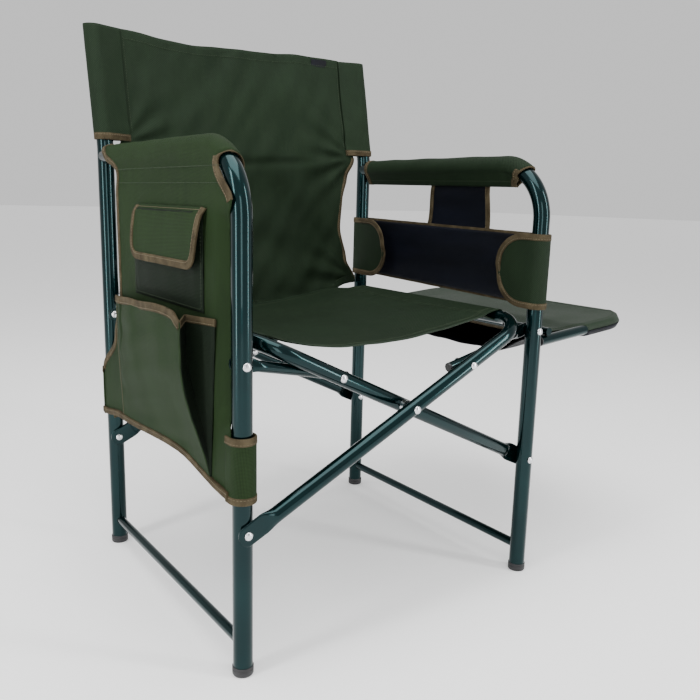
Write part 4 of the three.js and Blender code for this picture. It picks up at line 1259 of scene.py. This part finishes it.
cloth("flap_cloth", "pocket_flap", "olive_cloth", ["small_pocket_flap"], flap_point, (60, 30),
      (FLAP["rear"] - FLAP["front"], FLAP["top"] - FLAP["bottom"]), OLIVE, "hung")
flap_line = [flap_point(0.0, lerp(0.97, 0.0, k / 16)) for k in range(17)]
flap_line += [flap_point(k / 80, 0.0) for k in range(1, 80)]
flap_line += [flap_point(1.0, lerp(0.0, 0.97, k / 16)) for k in range(17)]
flap_middle = flap_point(0.5, 0.75)
binding("flap_tape", "pocket_flap", flap_line,
        lambda p, h: X.cross(h) * -1 if X.cross(h).dot(p - flap_middle) > 0 else X.cross(h),
        lambda p, h: -X, width=0.0095)
seam("flap_stitches", "pocket_flap", [[flap_point(k / 50, 0.955) for k in range(51)]], lambda t, p, h: -X,
     material=TAN_THREAD, piece_slot="olive_cloth")

LARGE_FRONT, LARGE_REAR = -0.168, 0.1330
GUSSET_Y = -0.1900


def large_rim(u):
    y = lerp(LARGE_FRONT, LARGE_REAR, u)
    return between(y, (-0.168, 0.4400), (-0.1455, 0.4500), (-0.100, 0.4510), (0.02, 0.4425), (0.1330, 0.4345))


def large_depth(y):
    return between(y, (-0.168, 0.0345), (-0.100, 0.0315), (0.02, 0.0210), (0.095, 0.0120), (0.1330, 0.0050))


def large_point(u, v):
    y = lerp(lerp(-0.1740, LARGE_FRONT, v), LARGE_REAR, u)
    z = lerp(panel_bottom(y) + 0.0012, large_rim(u), v)
    swell = smoothstep(v, 0.0, 0.75) ** 0.8
    depth = 0.0022 + large_depth(y) * swell
    free = smoothstep(v, 0, 0.15) * smoothstep(1 - u, 0, 0.1) * smoothstep(u, 0, 0.25)
    depth += (wrinkle(y * 0.5, z, 11.3, 0.05, 0.0030) + 0.0012 * math.sin(z * 150 + y * 40)) * free
    notch = 0.006 * math.exp(-((y - 0.100) / 0.006) ** 2) * smoothstep(v, 0.35, 0.95)
    return chair(PANEL_X - max(0.0022, depth - notch), y, z)


cloth("large_pocket_wall", POCKET_BODY, "olive_cloth", ["large_pocket"], large_point, (72, 60),
      (LARGE_REAR - LARGE_FRONT + 0.006, 0.196), OLIVE, "hung")


def gusset_point(u, v):
    """From the outer wall's front edge, folded inward, to the panel."""
    outer = large_point(0.0, v)
    z = lerp(0.2440, 0.4430, v)
    inner = chair(PANEL_X - 0.0018, lerp(-0.1745, GUSSET_Y, v), z)
    fold = outer.lerp(inner, 0.5) + Vector((0, 0.048 * smoothstep(v, 0.05, 0.9), 0))
    fold.x = inner.x - 0.35 * (inner.x - outer.x)
    return outer.lerp(fold, u * 2) if u < 0.5 else fold.lerp(inner, u * 2 - 1)


# The gusset wears the darker copy of the olive cloth: painted shade on its folded-in inside.
cloth("large_pocket_gusset", POCKET_BODY, "olive_cloth", [], gusset_point, (12, 40),
      (0.120, 0.200), OLIVE_PAINTED_SHADE, "folded", area=0.0122)


def rear_gusset_point(u, v):
    outer = large_point(1.0, v)
    inner = chair(PANEL_X - 0.0018, LARGE_REAR - 0.004 - 0.001 * v, outer.z)
    middle_point = outer.lerp(inner, 0.5) + Vector((0, -0.006 * v, 0))
    return outer.lerp(middle_point, u * 2) if u < 0.5 else middle_point.lerp(inner, u * 2 - 1)


# The rear gusset wears the darker copy of the olive cloth: painted shade.
cloth("large_pocket_rear_gusset", POCKET_BODY, "olive_cloth", [], rear_gusset_point, (4, 40),
      (0.014, 0.190), OLIVE_PAINTED_SHADE, "folded", area=0.0012)
rim_line = [large_point(k / 70, 1.0) for k in range(71)]
binding("large_pocket_rim_tape", POCKET_BODY, rim_line, lambda p, h: -Z, lambda p, h: h.cross(Z), width=0.010)
gusset_top = [gusset_point(k / 20, 1.0) for k in range(21)]
binding("gusset_tape", POCKET_BODY, gusset_top, lambda p, h: -Z, lambda p, h: h.cross(Z),
        width=0.008, half=0.0013)
wall_rows = [[large_point(0.985, v) for v in spread(0.02, 0.93, 40)]]
seam("large_pocket_stitches", POCKET_BODY, wall_rows, lambda t, p, h: -X, material=TAN_THREAD,
     piece_slot="olive_cloth")

# ---------------------------------------------------------------- table side: sleeve, tab, band

TABLE_BODY = "table_side_frame"


def table_sleeve_point(u, v):
    """u runs along the arm, v round it from the outer face of the seam to its inner face."""
    if v < 0.2 or v > 0.8:
        share = v / 0.2 if v < 0.2 else (1 - v) / 0.2
        sign = 1 if v < 0.2 else -1
        y = lerp(lerp(-0.1700, -0.1850, smoothstep(share)), 0.1990, u)
        tube_point = round_arm(HALF_X, 1, y, math.radians(-25 if sign > 0 else 205), SLEEVE_R)
        bottom = Vector((HALF_X + sign * 0.0011, y, lerp(0.6085, 0.6125, u)))
        p = bottom.lerp(tube_point, share ** 0.85)
    else:
        angle = math.radians(lerp(-25, 205, (v - 0.2) / 0.6))
        y = lerp(lerp(-0.1850, -0.1975, math.sin(max(0.0, angle))), 0.1990, u)
        p = round_arm(HALF_X, 1, y, angle, SLEEVE_R + 0.0006)
    p.z += wrinkle(p.y, v * 0.1, 13.0, 0.035, 0.0010) * smoothstep(v, 0.2, 0.3) * smoothstep(1 - v, 0.2, 0.3)
    return chair(*p)


cloth("table_arm_sleeve_cloth", TABLE_BODY, "green_cloth", ["table_arm_sleeve"], table_sleeve_point, (80, 60),
      (0.385, 0.128), GREEN, "gathered")
for share, into, name in ((0.0, Y, "front"), (1.0, -Y, "rear")):
    ring = [table_sleeve_point(share, k / 60) for k in range(61)]
    binding(f"table_sleeve_{name}_tape", TABLE_BODY, ring, lambda p, h, i=into: i,
            lambda p, h: h.cross(Y), width=0.009, half=0.0014)
seam("table_sleeve_stitches", TABLE_BODY,
     [[table_sleeve_point(k / 70, v) for k in range(2, 69)] for v in (0.055, 0.945)],
     lambda t, p, h: X if p.x > TABLE_X else -X)

BAND_R = SLEEVE_R + 0.0004
BAND_FRONT_FLAP, BAND_REAR_FLAP = 0.068, 0.095
BAND_CORNER = 0.049


def band_line(radius, flap_front, flap_rear):
    """Round the outside of both legs, seen from above, from the front inner flap to the rear one."""
    line = [Vector((-radius, -HALF_SPAN + flap_front)), Vector((-radius, -HALF_SPAN + flap_front * 0.5))]
    line += [Vector((math.cos(a), math.sin(a))) * radius + Vector((0, -HALF_SPAN))
             for a in (math.radians(180 + 180 * k / 20) for k in range(21))]
    line += [Vector((radius, y)) for y in (-0.15, -0.05, 0.05, 0.15)]
    line += [Vector((math.cos(a), math.sin(a))) * radius + Vector((0, HALF_SPAN))
             for a in (math.radians(180 * k / 20) for k in range(21))]
    line += [Vector((-radius, HALF_SPAN - flap_rear * 0.5)), Vector((-radius, HALF_SPAN - flap_rear))]
    return line


def band_low(y):
    return lerp(0.4290, 0.4425, (y + HALF_SPAN) / (2 * HALF_SPAN))


def band_high(y):
    return lerp(0.5390, 0.5480, (y + HALF_SPAN) / (2 * HALF_SPAN))


BAND_LINE = band_line(BAND_R, BAND_FRONT_FLAP, BAND_REAR_FLAP)
BAND_GIRTH = length_of(BAND_LINE)


def band_point(u, v):
    p = along_line(BAND_LINE, u)
    from_end = min(u, 1 - u) * BAND_GIRTH
    inset = 0.0
    if from_end < BAND_CORNER:
        inset = BAND_CORNER - math.sqrt(max(0.0, BAND_CORNER**2 - (BAND_CORNER - from_end) ** 2))
    low, high = band_low(p.y) + inset, band_high(p.y) - inset
    loose = 0.0
    if p.x < 0 and HALF_SPAN - abs(p.y) > 0.01:
        loose = smoothstep(HALF_SPAN - abs(p.y), 0.01, 0.08)
    x = p.x - 0.002 * loose
    if smoothstep(-p.x, 0.0, BAND_R) < 0.5:
        x += wrinkle(p.y, v * 0.1, 15.5, 0.05, 0.0014)
    x += 0.004 * loose * (0.5 - v)
    return chair(HALF_X + x, p.y, lerp(low, high, v))


cloth("table_band_cloth", TABLE_BODY, "green_cloth", ["table_side_band"], band_point, (150, 24),
      (BAND_GIRTH, 0.108), GREEN, "stretched")


def lining_point(u, v):
    y = lerp(-HALF_SPAN + 0.004, HALF_SPAN - 0.004, u)
    low, high = band_low(y) + 0.003, band_high(y) - 0.003
    x = BAND_R - 0.0039
    x += wrinkle(y * 0.4, v * 0.1, 21.0, 0.04, 0.0030) * smoothstep(min(u, 1 - u), 0.03, 0.12)
    return chair(HALF_X + min(x, BAND_R - 0.0022), y, lerp(low, high, v))


cloth("table_band_lining", TABLE_BODY, "dark_lining", [], lining_point, (90, 24),
      (2 * HALF_SPAN - 0.008, 0.102), LINING, "stretched")


def band_face(p, h):
    leg_y = MID_Y + (HALF_SPAN if p.y > MID_Y else -HALF_SPAN)
    if abs(p.y - MID_Y) > HALF_SPAN:
        return Vector((p.x - TABLE_X, p.y - leg_y, 0))
    return X if p.x > TABLE_X else -X


def band_inward(p, h):
    """Towards the middle of the band, or of the rounded flap end."""
    y = p.y - MID_Y
    if p.x < TABLE_X and y > 0:
        y = max(min(y, HALF_SPAN), HALF_SPAN - BAND_REAR_FLAP + BAND_CORNER)
    elif p.x < TABLE_X:
        y = min(max(y, -HALF_SPAN), BAND_FRONT_FLAP - HALF_SPAN - BAND_CORNER)
    return Vector((0, MID_Y + y - p.y, (band_low(y) + band_high(y)) / 2 - p.z))


band_edge = [(lerp(0.5, 1, k / 120), 1.0) for k in range(121)] + [(1.0, 1 - k / 8) for k in range(1, 8)]
band_edge += [(1 - k / 240, 0.0) for k in range(241)] + [(0.0, k / 8) for k in range(1, 8)]
band_edge += [(lerp(0, 0.5, k / 120), 1.0) for k in range(121)]
binding("table_band_edge_tape", TABLE_BODY, [band_point(u, v) for u, v in band_edge],
        band_inward, band_face, width=0.0085)


def tab_point(u, v):
    y = lerp(lerp(-0.100, -0.110, v), lerp(0.050, 0.025, v), u)
    x = lerp(BAND_R + 0.0014, 0.0034, smoothstep(v, 0.12, 1.0))
    z = lerp(band_high(y) - 0.008, 0.6150, v)
    return chair(HALF_X + x + wrinkle(y, z, 17.0, 0.04, 0.0012) * math.sin(math.pi * v), y, z)


cloth("table_side_tab_cloth", TABLE_BODY, "dark_lining", ["table_side_tab"], tab_point, (30, 24),
      (0.145, 0.072), LINING, "hung")
for u, into, name in ((0.0, Y, "front"), (1.0, -Y, "rear")):
    edge = [tab_point(u, k / 16) for k in range(17)]
    binding(f"table_tab_{name}_tape", TABLE_BODY, edge, lambda p, h, i=into: i, lambda p, h: -X, width=0.008)

# ---------------------------------------------------------------- table cover

COVER_R = TABLE_R + 0.0011
COVER_INNER, NOTCH_REACH, NOTCH_DEPTH = 0.014, 0.096, 0.036


def cover_half(out):
    """Half the cover's length at a distance from the rail: rounded outside, cut back inside."""
    full = HALF_SPAN + COVER_R
    bend = TABLE_BEND + COVER_R
    start = TABLE_REACH + COVER_R - bend
    if out > start:
        return full - bend + math.sqrt(max(0.0, bend**2 - (out - start) ** 2))
    if out < NOTCH_REACH:
        t = (out - COVER_INNER) / (NOTCH_REACH - COVER_INNER)
        return full - NOTCH_DEPTH * (1 - t * t)
    return full


def cover_point(u, v, up):
    """up is +1 for the top sheet and -1 for the lower one."""
    t = 1 - (1 - u) ** 1.7
    out = lerp(COVER_INNER, TABLE_REACH + COVER_R, t)
    half = cover_half(out)
    y = half * (2 * v - 1)
    edge = min(half - abs(y), TABLE_REACH + COVER_R - out)
    roll = math.sqrt(max(0.0, 1 - (1 - min(1.0, edge / COVER_R)) ** 2))
    if out < NOTCH_REACH:
        roll = lerp(0.35, roll, smoothstep(out, COVER_INNER + 0.05, NOTCH_REACH))
    inside = smoothstep(half - abs(y), 0.01, 0.07) * smoothstep(TABLE_REACH - out, 0.0, 0.05)
    height = up * COVER_R * roll
    if up > 0:
        height -= 0.0030 * inside + wrinkle(y, out, 19.0, 0.06, 0.0016) * inside
    else:
        slack = smoothstep(half - abs(y), 0.002, 0.10) * (1 - smoothstep(out, 0.03, 0.19))
        height -= 0.036 * slack + wrinkle(y, out * 0.5, 23.0, 0.045, 0.0042) * inside + 0.001
    return on_table(out, y, height - ARM_DROP)


COVERS = ((1, "top", TABLE_CLOTH, "green_cloth"), (-1, "lower", LINING, "dark_lining"))
for up, name, material, slot in COVERS:
    cloth(f"table_cover_{name}", "side_table", slot, ["table_cover"] if up > 0 else [],
          lambda u, v, s=up: cover_point(u, v, s), (50, 96), (0.225, 2 * (HALF_SPAN + COVER_R)), material,
          "stretched" if up > 0 else "hung", area=0.094)
inner_line = [cover_point(0.0, k / 70, 1) for k in range(71)]
binding("table_cover_inner_tape", "side_table", inner_line, lambda p, h: TABLE_OUT, lambda p, h: TABLE_UP,
        width=0.007, half=0.0012)
cover_rows = [[cover_point(u, v, 1) for u in spread(0.02, 0.985, 60)] for v in (0.028, 0.972)]
cover_rows.append([cover_point(0.78, v, 1) for v in spread(0.05, 0.95, 90)])
seam("table_cover_stitches", "side_table", cover_rows, lambda t, p, h: TABLE_UP)

# ---------------------------------------------------------------- camera, light, floor

scene = bpy.context.scene
YAW, PITCH, ROLL = math.radians(36.137), math.radians(11.344), math.radians(1.4546)
CAMERA_PLACE = (-0.651, -0.9819, 0.5857)
forward = Vector((math.sin(YAW) * math.cos(PITCH), math.cos(YAW) * math.cos(PITCH), -math.sin(PITCH)))
right = Vector((math.cos(YAW), -math.sin(YAW), 0))
above = right.cross(forward)
camera = bpy.data.objects.new("camera", bpy.data.cameras.new("camera"))
camera.data.lens, camera.data.sensor_width = 38.93, 36.0
rotation = Matrix((
    right * math.cos(ROLL) + above * math.sin(ROLL),
    above * math.cos(ROLL) - right * math.sin(ROLL),
    -forward,
)).transposed()
camera.matrix_world = Matrix.Translation(chair(*CAMERA_PLACE)) @ rotation.to_4x4()
scene.collection.objects.link(camera)
scene.camera = camera


def soft_box(name, position, target, size, energy):
    light = bpy.data.objects.new(name, bpy.data.lights.new(name, "AREA"))
    light.data.shape = "RECTANGLE"
    light.data.size, light.data.size_y = size
    light.data.energy = energy
    light.location = position
    light.rotation_euler = (Vector(target) - Vector(position)).to_track_quat("-Z", "Y").to_euler()
    scene.collection.objects.link(light)


middle_point = chair(0, 0, 0.42)
soft_box("left_box", chair(-2.1, -0.3, 0.9), middle_point, (0.35, 2.6), 44)
soft_box("right_box", chair(1.3, -1.9, 1.0), middle_point, (0.25, 2.4), 40)
soft_box("top_box", chair(-0.3, -0.3, 2.4), middle_point, (1.8, 1.8), 60)
soft_box("front_fill", chair(-1.3, -2.2, 0.9), middle_point, (0.6, 1.6), 16)

world = bpy.data.worlds.new("world")
world.use_nodes = True
world.node_tree.nodes["Background"].inputs["Color"].default_value = (1, 1, 1, 1)
world.node_tree.nodes["Background"].inputs["Strength"].default_value = 0.8
scene.world = world

floor_material = Nodes("pale_floor", Base_Color=(0.9, 0.9, 0.9, 1), Roughness=0.8,
                       Emission_Color=(1, 1, 1, 1), Emission_Strength=0.22).material
floor_mesh = bpy.data.meshes.new("floor")
far = 30
floor_mesh.from_pydata([(-far, -far, 0), (far, -far, 0), (far, far, 0), (-far, far, 0)], [], [(0, 1, 2, 3)])
floor_mesh.materials.append(floor_material)
floor = bpy.data.objects.new("floor", floor_mesh)
scene.collection.objects.link(floor)
